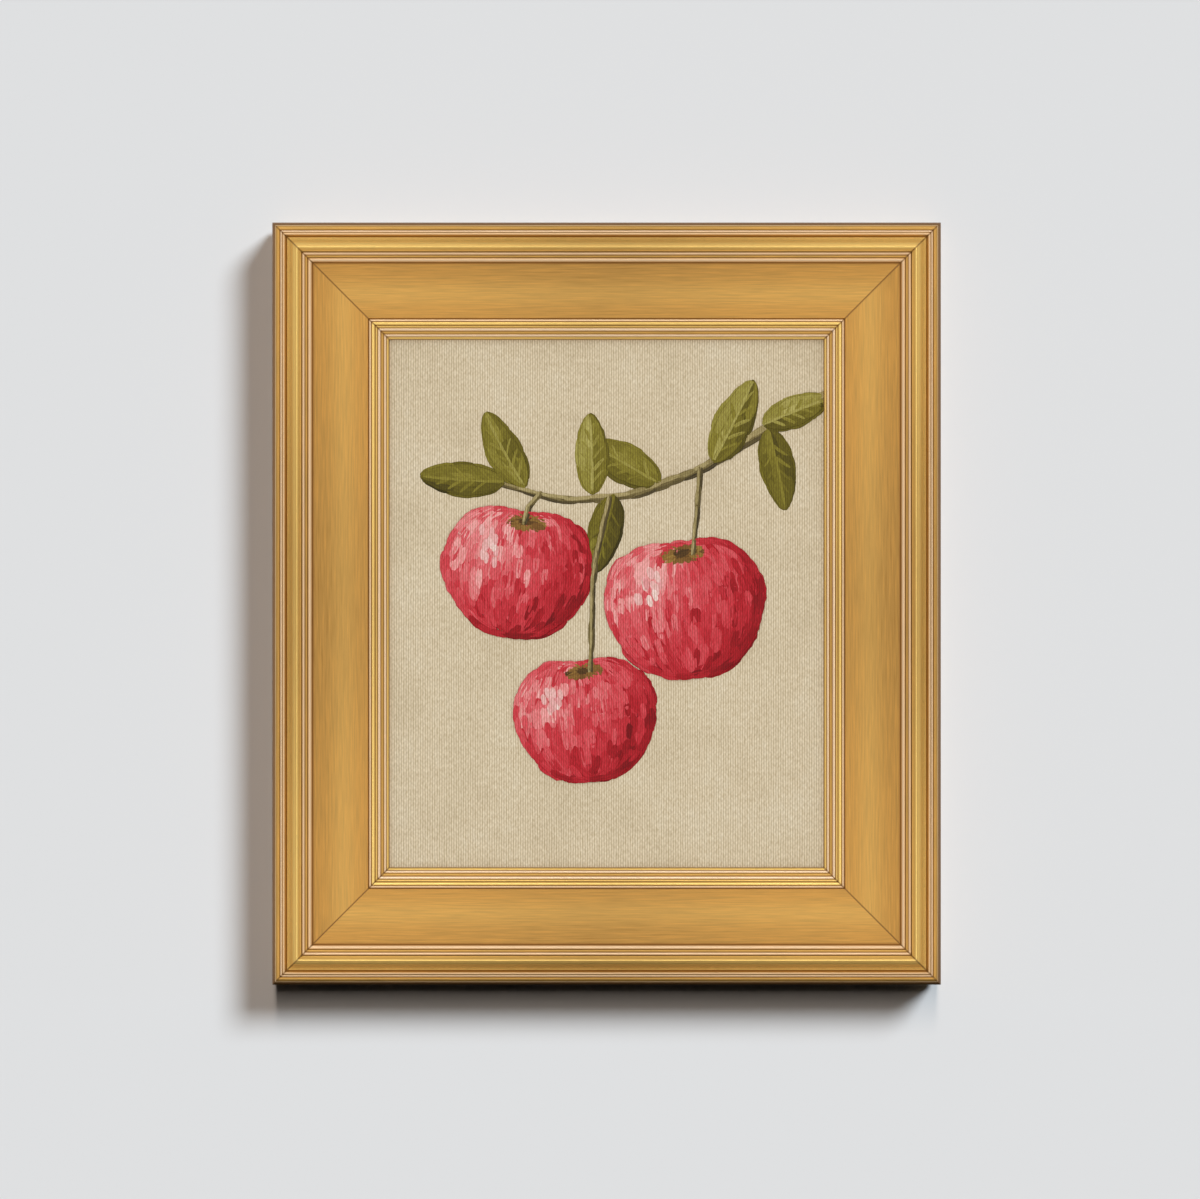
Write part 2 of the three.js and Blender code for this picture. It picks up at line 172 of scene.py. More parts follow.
# ------------------------------------------------------------------------------------ light
# The wall has a key from the upper right, which throws the picture's soft shadow, and a warm row of
# weaker lamps, one over the other, that fills the shadow more the further it is from the wood. The
# picture has a wide soft light from the front, alike for all its sides, a weak key from above and a
# small lamp in front for a thin gleam along the ridges. A black card right under the frame, unseen,
# keeps the light from the bottom rail's underside.
SHADOW = (25, 25.7)  # millimetres to the left and down
RIM_MM = WOOD_BACK / MM - 29.4
LAMPS = {
    # towards the light, strength, apparent size in degrees, colour, what it lights
    "wall_key": ((SHADOW[0], RIM_MM, SHADOW[1]), 3.22, 20, "#edf7ff", "room"),
    "picture_dome": ((0, -1, 0), 2.65, 170, "#ffffff", "picture"),
    "picture_key": ((0, -40, 40), 0.3, 20, "#ffffff", "picture"),
    "picture_glint": ((0, -1, 0), 0.16, 16, "#fff6e6", "picture"),
    "back_dome": ((0, 1, 0), 2.6, 170, "#ffffff", ""),
    "back_key": ((-25, 40, 30), 1.0, 40, "#ffffff", "picture"),
}
FILL = (0.24, 7, "#ffeedf")
for rise in (8, 13, 18, 24, 30):
    LAMPS[f"wall_fill_{rise}"] = ((0, RIM_MM, rise), *FILL, "room")
BACKDROP_HEX = "#dcdcda"
DIM = 0.01  # the room's own light, as a share of the backdrop's brightness

CARD_BELOW = 9 * MM
CARD_PROUD = 12 * MM  # how far it stands out past the moulding's crest

card_y = (-CARD_PROUD - CREST_HEIGHT + WOOD_BACK, -1 * MM)
card_corners = [
    (x, y, FRAME_BOTTOM - CARD_BELOW)
    for x, y in zip((-FRAME_W, FRAME_W, FRAME_W, -FRAME_W), (*card_y[:1] * 2, *card_y[1:] * 2))
]
card = mesh_object("card", card_corners, [(0, 1, 2, 3)], plain_paint("Black card", "#101010"))
card.visible_camera = False

groups = {title: bpy.data.collections.new(title) for title in ("room", "picture")}
for piece in (wall, floor):
    groups["room"].objects.link(piece)
for title, (towards, strength, angle, code, lights) in LAMPS.items():
    lamp = bpy.data.objects.new(title, bpy.data.lights.new(title, "SUN"))
    lamp.data.energy = strength
    lamp.data.angle = math.radians(angle)
    lamp.data.color = srgb(code)[:3]
    lamp.rotation_euler = Vector(towards).to_track_quat("Z", "Y").to_euler()
    if lights:
        lamp.light_linking.receiver_collection = groups[lights]
    if lights == "room":
        lamp.light_linking.blocker_collection = groups["picture"]
    bpy.context.scene.collection.objects.link(lamp)

world = bpy.data.worlds.new("studio")
world.use_nodes = True
bpy.context.scene.world = world
backdrop = world.node_tree
backdrop.nodes.clear()
seen = node(backdrop, "ShaderNodeLightPath").outputs["Is Camera Ray"]
brightness = node(backdrop, "ShaderNodeMapRange", {"Value": seen, "To Min": DIM, "To Max": 1.0})
air = node(
    backdrop,
    "ShaderNodeBackground",
    {"Color": srgb(BACKDROP_HEX), "Strength": brightness.outputs["Result"]},
)
node(backdrop, "ShaderNodeOutputWorld", {"Surface": air.outputs[0]})

# ------------------------------------------------------------------------------------ moulding
# Four lengths of one milled basswood moulding, mitred and glued. The face is covered in metal leaf
# over red-brown bole, toned with umber that stays in the grooves and is darkened there as painted
# shade, rubbed pale on the reeds, which also stands in for their highlights, and painted bright gold
# as a gleam on the crest, the ogee and some reeds. The outer side is bronzed, and the back and the
# rabbet are bare wood.
RAIL_W = 65 * MM
RABBET_W = 7 * MM
RABBET_D = 17.5 * MM
JOINT = 0.1 * MM  # the glued mitre's open line
# The profile from the outer edge inwards: shape, across, height and rise in millimetres, and how
# the face is coloured: above 0 rubbed pale, which also stands in for the reeds' highlights, below 0
# painted bright gold as a gleam (on the cove a slightly brighter leaf). A reed is a half-round bead.
MOULDING = [
    ("line", 0, 21, 0, 0),
    ("shoulder", 2.4, 29.4, 0, 0),
    ("reed", 4.9, 30.3, 1.25, -0.15),
    ("reed", 6.1, 30.6, 0.55, 0.9),
    ("reed", 7.8, 30.7, 0.85, 0.55),
    ("line", 8.6, 29.6, 0, 0),
    ("ogee", 14.1, 35.3, 0, -1.05),
    ("crest", 17.1, 31.8, 1.5, -1.1),
    ("reed", 18.9, 31.3, 0.8, 0.7),
    ("reed", 20.3, 30.7, 0.5, -0.2),
    ("reed", 22.7, 29.9, 1.05, 0.7),
    ("line", 23.3, 29.2, 0, 0),
    ("cove", 53.2, 24.7, 0.65, -0.16),
    ("line", 53.8, 24.1, 0, 0),
    ("reed", 55.3, 24.5, 0.7, 0.75),
    ("reed", 57.4, 23.9, 1.2, -1),
    ("reed", 58.8, 23.2, 0.55, -0.6),
    ("reed", 60.5, 22.3, 0.85, 1.15),
    ("reed", 62.1, 21.4, 0.35, -0.2),
    ("reed", 63.6, 20.4, 0.75, 1.1),
    ("reed", 65, 19.3, 0.5, -0.8),
]
STEPS = {"reed": 12, "crest": 16, "shoulder": 12, "ogee": 16, "cove": 24}
OGEE_SWING = 0.1
RAIL_STEPS = 90  # cross-sections along a rail
WOBBLE = 0.02 * MM  # the hand-sanded gesso under the leaf is never quite straight
RELIEF_WINDOW = 0.45  # millimetres each way over which a ridge or a groove is told


def moulding_face():
    """The face's points in millimetres, as across, height and the pale rub and painted gleam, from the
    outer edge inwards.
    """
    points = [(0, 0, 0)]
    for kind, u1, h1, rise, rub in MOULDING:
        u0, h0, _ = points[-1]
        steps = STEPS.get(kind, 1)
        for i in range(1, steps + 1):
            t = i / steps
            turn = math.pi * t
            across, up, bulge, pale = t, t, 0, 0
            if kind in ("reed", "crest"):
                across = up = (1 - math.cos(turn)) / 2
                bulge = rise * math.sin(turn)
                pale = rub * math.sin(turn) ** 2
                if kind == "crest":
                    # painted highlight: two bright lines along the crest stand in for its gleam
                    lines = ((0.14, 0.14, 1), (0.78, 0.14, 1))
                    pale = rub * max(s * math.exp(-(((across - m) / w) ** 2)) for m, w, s in lines)
                    pale = min(pale, rub * 0.42 * math.sin(turn))
            elif kind == "shoulder":
                across, up = 1 - math.cos(turn / 2), math.sin(turn / 2)
            elif kind == "ogee":
                up = t - math.sin(2 * turn) * OGEE_SWING
                # painted light: the ogee's outward slope, which the lamps leave dark, is painted bright,
                # most at its foot
                pale = rub * (1.1 - 0.7 * t)
            elif kind == "cove":
                bulge = -rise * math.sin(turn)
                pale = rub * math.exp(-(((t - 0.55) / 0.25) ** 2))
            points.append((u0 + (u1 - u0) * across, h0 + (h1 - h0) * up + bulge, pale))
    return points


def relief(face):
    """How far each point stands out of, or lies in, the face smoothed over the window."""
    u, h = face[:, 0], face[:, 1]
    even = np.arange(-2, RAIL_W / MM + 2, 0.05)
    flat = np.interp(even, u, h)
    window = np.hanning(int(4 * RELIEF_WINDOW / 0.05))
    smooth = np.convolve(np.pad(flat, len(window), "edge"), window / window.sum(), "same")
    smooth = smooth[len(window) : -len(window)]
    return h - np.interp(u, even, smooth)


def outline_object(name, columns):
    """A closed outline as a mesh of edges, with a float attribute for each column."""
    count = len(next(iter(columns.values())))
    mesh = bpy.data.meshes.new(name)
    edges = [(i, (i + 1) % count) for i in range(count)]
    mesh.from_pydata([(u, h, 0) for u, h in zip(columns["u"], columns["h"])], edges, [])
    for title, values in columns.items():
        layer = mesh.attributes.new(title, "FLOAT", "POINT")
        layer.data.foreach_set("value", np.asarray(values, np.float32))
    made = bpy.data.objects.new(name, mesh)
    bpy.context.scene.collection.objects.link(made)
    return made


def new_tree(name, sizes):
    """A Geometry Nodes tree with a geometry in and out and the named inputs. Gives tree and input."""
    tree = bpy.data.node_groups.new(name, "GeometryNodeTree")
    tree.interface.new_socket("Geometry", in_out="OUTPUT", socket_type="NodeSocketGeometry")
    tree.interface.new_socket("Geometry", in_out="INPUT", socket_type="NodeSocketGeometry")
    for title, kind in sizes.items():
        tree.interface.new_socket(title, in_out="INPUT", socket_type="NodeSocket" + kind)
    return tree, node(tree, "NodeGroupInput").outputs


def baked(made, tree, values):
    """The object with its tree run and made plain mesh. values are the tree's inputs by name."""
    modifier = made.modifiers.new(tree.name, "NODES")
    modifier.node_group = tree
    for item in tree.interface.items_tree:
        if item.in_out == "INPUT" and item.name in values:
            modifier[item.identifier] = values[item.name]
    bpy.context.view_layer.update()
    depsgraph = bpy.context.evaluated_depsgraph_get()
    mesh = bpy.data.meshes.new_from_object(
        made.evaluated_get(depsgraph), preserve_all_data_layers=True, depsgraph=depsgraph
    )
    made.modifiers.clear()
    made.data = mesh
    mesh.name = made.name
    return made


def named(tree, title, kind="FLOAT"):
    """Reads a named attribute in a Geometry Nodes tree."""
    return node(
        tree, "GeometryNodeInputNamedAttribute", {"Name": title}, data_type=kind
    ).outputs["Attribute"]


def sums(tree, operation, a, b=0.0, c=0.0):
    """One step of arithmetic, in a geometry or a shader tree."""
    return node(tree, "ShaderNodeMath", {0: a, 1: b, 2: c}, operation=operation).outputs[0]


def mitred_length_tree():
    """An outline swept along X and cut at 45 degrees at both ends, then turned to its side."""
    tree, given = new_tree(
        "Mitred length",
        {
            "Length": "Float",
            "Joint": "Float",
            "Steps": "Int",
            "Wobble": "Float",
            "Turn": "Rotation",
            "Place": "Vector",
            "Face": "Material",
            "Side": "Material",
            "Bare": "Material",
        },
    )
    line = node(tree, "GeometryNodeCurvePrimitiveLine", {"End": (1, 0, 0)})
    steps = node(
        tree,
        "GeometryNodeResampleCurve",
        {"Curve": line.outputs[0], "Count": given["Steps"]},
    )
    share = node(tree, "GeometryNodeSplineParameter").outputs["Factor"]
    marked = node(
        tree,
        "GeometryNodeStoreNamedAttribute",
        {"Geometry": steps.outputs[0], "Name": "along", "Value": share},
        data_type="FLOAT",
        domain="POINT",
    )
    outline = node(tree, "GeometryNodeMeshToCurve", {"Mesh": given["Geometry"]})
    swept = node(
        tree,
        "GeometryNodeCurveToMesh",
        {"Curve": marked.outputs[0], "Profile Curve": outline.outputs[0], "Fill Caps": True},
    )
    across, high = named(tree, "u"), named(tree, "h")
    half = sums(tree, "MULTIPLY", given["Length"], 0.5)
    cut_back = sums(tree, "MULTIPLY", given["Joint"], 0.5 * math.sqrt(2))
    reach_x = sums(tree, "SUBTRACT", sums(tree, "SUBTRACT", half, across), cut_back)
    end = sums(tree, "MULTIPLY_ADD", named(tree, "along"), 2.0, -1.0)
    place = node(
        tree,
        "ShaderNodeCombineXYZ",
        {
            "X": sums(tree, "MULTIPLY", end, reach_x),
            "Y": sums(tree, "MULTIPLY", high, -1.0),
            "Z": sums(tree, "MULTIPLY", across, -1.0),
        },
    )
    set_out = node(
        tree,
        "GeometryNodeSetPosition",
        {"Geometry": swept.outputs[0], "Position": place.outputs[0]},
    )
    at = node(tree, "GeometryNodeInputPosition").outputs[0]
    parts = node(tree, "ShaderNodeSeparateXYZ", {0: at}).outputs
    grain = node(
        tree,
        "ShaderNodeCombineXYZ",
        {"X": parts["X"], "Y": named(tree, "around")},
    )
    to_joint = sums(tree, "MULTIPLY", sums(tree, "SUBTRACT", 1.0, sums(tree, "ABSOLUTE", end)), reach_x)
    measured = node(
        tree,
        "GeometryNodeStoreNamedAttribute",
        {"Geometry": set_out.outputs[0], "Name": "to_joint", "Value": to_joint},
        data_type="FLOAT",
        domain="POINT",
    )
    mapped = node(
        tree,
        "GeometryNodeStoreNamedAttribute",
        {"Geometry": measured.outputs[0], "Name": "grain", "Value": grain.outputs[0]},
        data_type="FLOAT2",
        domain="CORNER",
    )
    stretched = node(tree, "ShaderNodeVectorMath", {0: at, 1: (35, 160, 160)}, operation="MULTIPLY")
    waves = node(
        tree,
        "ShaderNodeTexNoise",
        {"Vector": stretched.outputs[0], "Scale": 1.0, "Detail": 2.0},
    )
    swing = sums(tree, "MULTIPLY", waves.outputs[0], given["Wobble"])
    push = node(tree, "ShaderNodeCombineXYZ", {"Y": sums(tree, "MULTIPLY", swing, named(tree, "face"))})
    uneven = node(
        tree,
        "GeometryNodeSetPosition",
        {"Geometry": mapped.outputs[0], "Offset": push.outputs[0]},
    )
    smooth = node(tree, "GeometryNodeSetShadeSmooth", {"Geometry": uneven.outputs[0]})
    corner = node(tree, "GeometryNodeInputMeshEdgeAngle").outputs["Unsigned Angle"]
    sharp = node(
        tree,
        "GeometryNodeSetShadeSmooth",
        {
            "Geometry": smooth.outputs[0],
            "Selection": sums(tree, "GREATER_THAN", corner, 0.6),
            "Shade Smooth": False,
        },
        domain="EDGE",
    )
    shown = sharp.outputs[0]
    for title, mark in (("Bare", None), ("Side", "side"), ("Face", "face")):
        inputs = {"Geometry": shown, "Material": given[title]}
        if mark:
            inputs["Selection"] = sums(tree, "GREATER_THAN", named(tree, mark), 0.5)
        shown = node(tree, "GeometryNodeSetMaterial", inputs).outputs[0]
    real = node(tree, "GeometryNodeRealizeInstances", {0: shown})
    placed = node(
        tree,
        "GeometryNodeTransform",
        {
            "Geometry": real.outputs[0],
            "Translation": given["Place"],
            "Rotation": given["Turn"],
        },
    )
    node(tree, "NodeGroupOutput", {0: placed.outputs[0]})
    return tree


mitred_length = mitred_length_tree()


def gilding():
    """Metal leaf laid on bole and toned: a warm satin metal, streaked along its length where the brush
    dragged the toning, dark in the mitres, dark in the grooves with umber and painted shade, rubbed pale
    on some ridges, which also stands in for their highlights, and painted bright gold as a gleam on
    others.
    Towards the corners it is painted brighter, as a gleam."""
    material, tree = new_material("Metal leaf, burnished and toned")
    grain = node(tree, "ShaderNodeUVMap", uv_map="grain").outputs[0]
    streak_scale = node(
        tree, "ShaderNodeVectorMath", {0: grain, 1: (40, 1100, 1)}, operation="MULTIPLY"
    )  # streaks about 25 mm long and 0.9 mm wide
    streaks = node(
        tree,
        "ShaderNodeTexNoise",
        {"Vector": streak_scale.outputs[0], "Scale": 1.0, "Detail": 3.0, "Roughness": 0.6},
    )
    cloud_scale = node(
        tree, "ShaderNodeVectorMath", {0: grain, 1: (34, 80, 1)}, operation="MULTIPLY"
    )  # patches about 30 by 12 mm
    clouds = node(
        tree, "ShaderNodeTexNoise", {"Vector": cloud_scale.outputs[0], "Scale": 1.0, "Detail": 2.5}
    )
    to_joint = node(tree, "ShaderNodeAttribute", attribute_name="to_joint").outputs["Fac"]
    # painted gleam: the leaf is painted brighter towards the corners, and its gleam lines stronger there
    corner_gleam = node(
        tree,
        "ShaderNodeMapRange",
        {"Value": to_joint, "From Min": 190 * MM, "From Max": 10 * MM},
        interpolation_type="SMOOTHSTEP",
    ).outputs[0]
    tone = sums(tree, "MULTIPLY_ADD", clouds.outputs[0], 0.05, 0.24)
    tone = sums(tree, "MULTIPLY_ADD", corner_gleam, 0.1, tone)
    tone = sums(tree, "MULTIPLY_ADD", streaks.outputs[0], 0.48, tone)
    leaf = node(tree, "ShaderNodeValToRGB", {"Fac": tone})
    leaf.color_ramp.elements.new(0.5)
    leaf.color_ramp.elements.new(0.64)
    leaf_tones = ((0.36, "#a1722f"), (0.5, "#b38641"), (0.64, "#cc9648"), (0.8, "#e0ad5b"))
    for stop, (at, code) in zip(leaf.color_ramp.elements, leaf_tones):
        stop.position = at
        stop.color = srgb(code)
    rub = node(tree, "ShaderNodeAttribute", attribute_name="rub").outputs["Fac"]
    # painted highlight: where the rub value is below 0, bright gold is mixed in as a gleam
    shine = sums(tree, "MULTIPLY_ADD", corner_gleam, 0.35, 0.65)
    painted_gleam = sums(tree, "MAXIMUM", sums(tree, "MULTIPLY", rub, sums(tree, "MULTIPLY", shine, -1.0)))
    burnished = node(
        tree,
        "ShaderNodeMix",
        {0: painted_gleam, 6: leaf.outputs[0], 7: srgb("#ffda7e")},
        data_type="RGBA",
    )
    # pale rub on the reeds, which also stands in for their highlights
    rubbed = node(
        tree,
        "ShaderNodeMix",
        {0: sums(tree, "MAXIMUM", rub), 6: burnished.outputs[2], 7: srgb("#f4d5af")},
        data_type="RGBA",
    )
    # painted shade: the grooves are darkened with umber, as toning that settles there and as their shade;
    # the mitres darken as a joint
    depth = node(tree, "ShaderNodeAttribute", attribute_name="relief").outputs["Fac"]
    groove = node(
        tree,
        "ShaderNodeMapRange",
        {"Value": depth, "From Min": -0.02, "From Max": -0.24, "To Min": 0.0, "To Max": 0.78},
        interpolation_type="SMOOTHSTEP",
    )
    mitre = node(
        tree,
        "ShaderNodeMapRange",
        {"Value": to_joint, "From Min": 0.8 * MM, "From Max": 0.2 * MM, "To Min": 0.0, "To Max": 0.7},
    )
    umber_and_shade = sums(tree, "MAXIMUM", groove.outputs[0], mitre.outputs[0])
    toned = node(
        tree, "ShaderNodeMix", {0: umber_and_shade, 6: rubbed.outputs[2], 7: srgb("#85582a")}, data_type="RGBA"
    )
    rough = node(
        tree,
        "ShaderNodeMapRange",
        {"Value": streaks.outputs[0], "From Min": 0.3, "From Max": 0.7, "To Min": 0.4, "To Max": 0.5},
    )
    polished = sums(tree, "MULTIPLY", sums(tree, "ABSOLUTE", rub), -0.18)
    smoother = sums(tree, "ADD", rough.outputs[0], polished)
    dent = node(
        tree,
        "ShaderNodeBump",
        {"Height": streaks.outputs[0], "Distance": 0.04 * MM, "Strength": 0.6},
    )
    shader = node(
        tree,
        "ShaderNodeBsdfPrincipled",
        {
            "Base Color": toned.outputs[2],
            "Metallic": 0.45,
            "Roughness": smoother,
            "Specular IOR Level": 0.3,
            "Normal": dent.outputs[0],
        },
    )
    node(tree, "ShaderNodeOutputMaterial", {"Surface": shader.outputs[0]})
    return material


def bronzing():
    """Bronze paint on the moulding's outer side: duller and browner than the leaf, brushed on."""
    material, tree = new_material("Bronze paint, brushed")
    grain = node(tree, "ShaderNodeUVMap", uv_map="grain").outputs[0]
    spread = node(tree, "ShaderNodeVectorMath", {0: grain, 1: (14, 900, 1)}, operation="MULTIPLY")
    brush = node(
        tree, "ShaderNodeTexNoise", {"Vector": spread.outputs[0], "Scale": 1.0, "Detail": 3.0}
    )
    tint = node(
        tree,
        "ShaderNodeMix",
        {0: brush.outputs[0], 6: srgb("#775430"), 7: srgb("#977045")},
        data_type="RGBA",
    )
    shader = node(
        tree,
        "ShaderNodeBsdfPrincipled",
        {
            "Base Color": tint.outputs[2],
            "Metallic": 0.4,
            "Roughness": 0.5,
            "Specular IOR Level": 0.2,
        },
    )
    node(tree, "ShaderNodeOutputMaterial", {"Surface": shader.outputs[0]})
    return material


def bare_wood(name, dark, light, ring_mm):
    """Planed softwood, unfinished: dull, with fine grain along its length in two tones."""
    material, tree = new_material(name)
    grain = node(tree, "ShaderNodeUVMap", uv_map="grain").outputs[0]
    spread = node(
        tree, "ShaderNodeVectorMath", {0: grain, 1: (7, 1000 / ring_mm, 1)}, operation="MULTIPLY"
    )
    rings = node(
        tree,
        "ShaderNodeTexNoise",
        {"Vector": spread.outputs[0], "Scale": 1.0, "Detail": 5.0, "Distortion": 0.6},
    )
    tint = node(tree, "ShaderNodeValToRGB", {"Fac": rings.outputs[0]})
    tint.color_ramp.elements[0].position = 0.35
    tint.color_ramp.elements[0].color = srgb(dark)
    tint.color_ramp.elements[1].position = 0.65
    tint.color_ramp.elements[1].color = srgb(light)
    fibres = node(
        tree, "ShaderNodeBump", {"Height": rings.outputs[0], "Distance": 0.1 * MM, "Strength": 0.5}
    )
    shader = node(
        tree,
        "ShaderNodeBsdfPrincipled",
        {"Base Color": tint.outputs[0], "Roughness": 0.72, "Normal": fibres.outputs[0]},
    )
    node(tree, "ShaderNodeOutputMaterial", {"Surface": shader.outputs[0]})
    return material


face = np.array(moulding_face())
# The CAD crest is faceted, so the finer curve is brought down to its height.
face[:, 1] *= CREST_HEIGHT / MM / face[:, 1].max()
back = np.array([(RAIL_W, RABBET_D), (RAIL_W - RABBET_W, RABBET_D), (RAIL_W - RABBET_W, 0)]) / MM
profile = np.vstack([face[:, :2], back]) * MM
edge_lengths = np.linalg.norm(np.diff(profile, axis=0), axis=1)
on_back = np.zeros(len(back))
is_side = face[:, 0] < 2.3
columns = {
    "u": profile[:, 0],
    "h": profile[:, 1],
    "around": np.concatenate([[0], np.cumsum(edge_lengths)]),
    # the sight edge's last 0.4 mm is darkened like a groove
    "relief": np.concatenate([np.where(face[:, 0] > 64.6, -0.2, relief(face)), on_back]),
    "rub": np.concatenate([face[:, 2], on_back]),
    "side": np.concatenate([is_side, on_back]),
    "face": np.concatenate([~is_side, on_back]),
}
leaf_material = gilding()
side_material = bronzing()
basswood = bare_wood("Basswood, planed", "#c9a878", "#dcc197", 1.5)
SIDES = {"top": FRAME_W, "right": FRAME_H, "bottom": FRAME_W, "left": FRAME_H}


def side_turn(k, reach_z, centre_z, y=WOOD_BACK):
    """The turn, and the place of the outer edge's middle, of side k: top, right, bottom, left."""
    turn = Euler((0, k * math.pi / 2, 0))
    centre = Vector((0, y, centre_z))
    return turn, centre + turn.to_matrix() @ Vector((0, 0, reach_z))


def finish_piece(piece, slot, *nodes):
    """The piece rides on the picture, is lit with it, and stands for the CAD nodes."""
    groups["picture"].objects.link(piece)
    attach(piece, "root")
    if nodes:
        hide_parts(*nodes)


for k, (side, length) in enumerate(SIDES.items()):
    rail = outline_object(f"moulding_{side}", columns)
    across_length = FRAME_H if k % 2 == 0 else FRAME_W
    turn, place = side_turn(k, across_length / 2, FRAME_CENTRE_Z)
    baked(
        rail,
        mitred_length,
        {
            "Length": length,
            "Joint": JOINT,
            "Steps": RAIL_STEPS,
            "Wobble": WOBBLE,
            "Turn": turn,
            "Place": place,
            "Face": leaf_material,
            "Side": side_material,
            "Bare": basswood,
        },
    )
    finish_piece(rail, "gilded_wood", f"rail_{side}")

# ------------------------------------------------------------------------------------ corner nails
# V-shaped strips of zinc-plated steel, pressed across each mitre from the back, two to a corner, so
# that the glued joint can't open.
ZINC_ARRIS = 0.12 * MM


def plated(name, code, rough, brushed_mm):
    """A thin bright metal plate over rolled steel: a cool mirror with fine rolling lines."""
    material, tree = new_material(name)
    place = node(tree, "ShaderNodeTexCoord").outputs["Object"]
    lines = node(
        tree,
        "ShaderNodeVectorMath",
        {0: place, 1: (1000 / brushed_mm, 1000 / brushed_mm, 60)},
        operation="MULTIPLY",
    )
    rolled = node(
        tree, "ShaderNodeTexNoise", {"Vector": lines.outputs[0], "Scale": 1.0, "Detail": 3.0}
    )
    stain = node(tree, "ShaderNodeTexNoise", {"Vector": place, "Scale": 160.0, "Detail": 3.0})
    tint = node(
        tree,
        "ShaderNodeMix",
        {0: stain.outputs[0], 6: srgb(code), 7: srgb("#8d8a84")},
        data_type="RGBA",
    )
    dull = node(
        tree,
        "ShaderNodeMapRange",
        {
            "Value": rolled.outputs[0],
            "From Min": 0.3,
            "From Max": 0.7,
            "To Min": rough - 0.08,
            "To Max": rough + 0.1,
        },
    )
    shader = node(
        tree,
        "ShaderNodeBsdfPrincipled",
        {"Base Color": tint.outputs[2], "Metallic": 1.0, "Roughness": dull.outputs[0]},
    )
    node(tree, "ShaderNodeOutputMaterial", {"Surface": shader.outputs[0]})
    return material


def softened(name, nodes, arris, material, grain_axis=None, round_ends=None):
    """The CAD pieces' own shapes as one welded object, with every sharp arris rounded over.
    grain_axis, 0 or 2, lays the grain map along X or Z. round_ends rounds a strip's plan corners."""
    shape = bmesh.new()
    for title in nodes:
        shape.from_mesh(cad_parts[title].data)
    bmesh.ops.remove_doubles(shape, verts=shape.verts, dist=1e-6)
    bmesh.ops.dissolve_limit(
        shape, angle_limit=math.radians(1), verts=shape.verts, edges=shape.edges
    )
    if round_ends:
        thick, radius = round_ends
        corners = [
            edge
            for edge in shape.edges
            if abs(edge.calc_length() - thick) < 1e-5
            and abs(edge.verts[0].co.y - edge.verts[1].co.y) > 0.99 * thick
        ]
        bmesh.ops.bevel(
            shape, geom=corners, offset=radius, segments=6, profile=0.5, affect="EDGES"
        )
    if grain_axis is not None:
        grain = shape.loops.layers.uv.new("grain")
        for flat in shape.faces:
            for loop in flat.loops:
                at = loop.vert.co
                loop[grain].uv = (at[grain_axis], at[2 - grain_axis] + at.y)
    mesh = bpy.data.meshes.new(name)
    shape.to_mesh(mesh)
    shape.free()
    mesh.materials.clear()
    mesh.materials.append(material)
    mesh.shade_smooth()
    made = bpy.data.objects.new(name, mesh)
    bpy.context.scene.collection.objects.link(made)
    rounding = made.modifiers.new("Rounded arrises", "BEVEL")
    rounding.width = arris
    rounding.segments = 2
    rounding.limit_method = "ANGLE"
    rounding.harden_normals = True
    return made


zinc = plated("Zinc plate, bright", "#c3c6ca", 0.3, 0.4)
corner_nail_nodes = [f"vnail_{side}_{i}" for side in SIDES for i in (1, 2)]
corner_nails = softened("corner_nails", corner_nail_nodes, ZINC_ARRIS, zinc)
finish_piece(corner_nails, "zinc_plated_steel", *corner_nail_nodes)

# ------------------------------------------------------------------------------------ stretcher
# Four bars of planed pine, mitred and slotted together dry, and bevelled in front so that only
# their outer edges bear on the cloth.
BAR_ARRIS = 0.5 * MM
pine = bare_wood("Pine, planed", "#cda36a", "#e6c898", 2.2)
for k, side in enumerate(SIDES):
    bar = softened(f"bar_{side}", [f"stretcher_{side}"], BAR_ARRIS, pine, grain_axis=2 * (k % 2))
    finish_piece(bar, "pine", f"stretcher_{side}")

# ------------------------------------------------------------------------------------ corner keys
# Sawn beech wedges, two to a corner, tapped into the bars' slots to spread the corners and tighten
# the cloth. Their grain runs along them.
KEY_ARRIS = 0.25 * MM
beech = bare_wood("Beech, sawn", "#cfa877", "#e9cda3", 0.9)
for k, side in enumerate(SIDES):
    key_nodes = [f"key_{side}_1", f"key_{side}_2"]
    keys = softened(f"keys_{side}", key_nodes, KEY_ARRIS, beech, grain_axis=2 - 2 * (k % 2))
    finish_piece(keys, "beech", *key_nodes)

# ------------------------------------------------------------------------------------ canvas
# One cut of primed cotton canvas, 328 by 379 mm, pulled round the bars and stapled behind. The cloth
# is folded under at 45 degrees at the back's corners and trimmed by hand. It is one closed shell.
CLOTH_T = 0.7 * MM
CLOTH_EDGE = 1.3 * MM  # radius that the cloth takes round the bars' edges
TURNOVER = 22 * MM
TRIM_WANDER = 1.1 * MM  # how far the hand-cut edge strays
FOLD_RISE = 0.75 * MM  # the folded corner lies one more cloth high
FOLD_REACH = 15 * MM
CLOTH_STEP = 2.5 * MM
RIB_MM = 1.33  # spacing of the canvas's ribs across the picture
PICK_MM = 1.23  # spacing of its threads down the picture
GROUND_HEX = ("#b8a684", "#ddccac", "#ebe0c7")

canvas_low, canvas_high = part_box("canvas")
CANVAS_CENTRE = (canvas_low + canvas_high) / 2
CLOTH_FRONT = canvas_low.y
CLOTH_BACK = canvas_high.y
HALF_W = canvas_high.x
HALF_H = (canvas_high.z - canvas_low.z) / 2


def smooth_step(x, low, high):
    """0 below low, 1 above high and an even ease between them."""
    t = np.clip((x - low) / (high - low), 0, 1)
    return t * t * (3 - 2 * t)


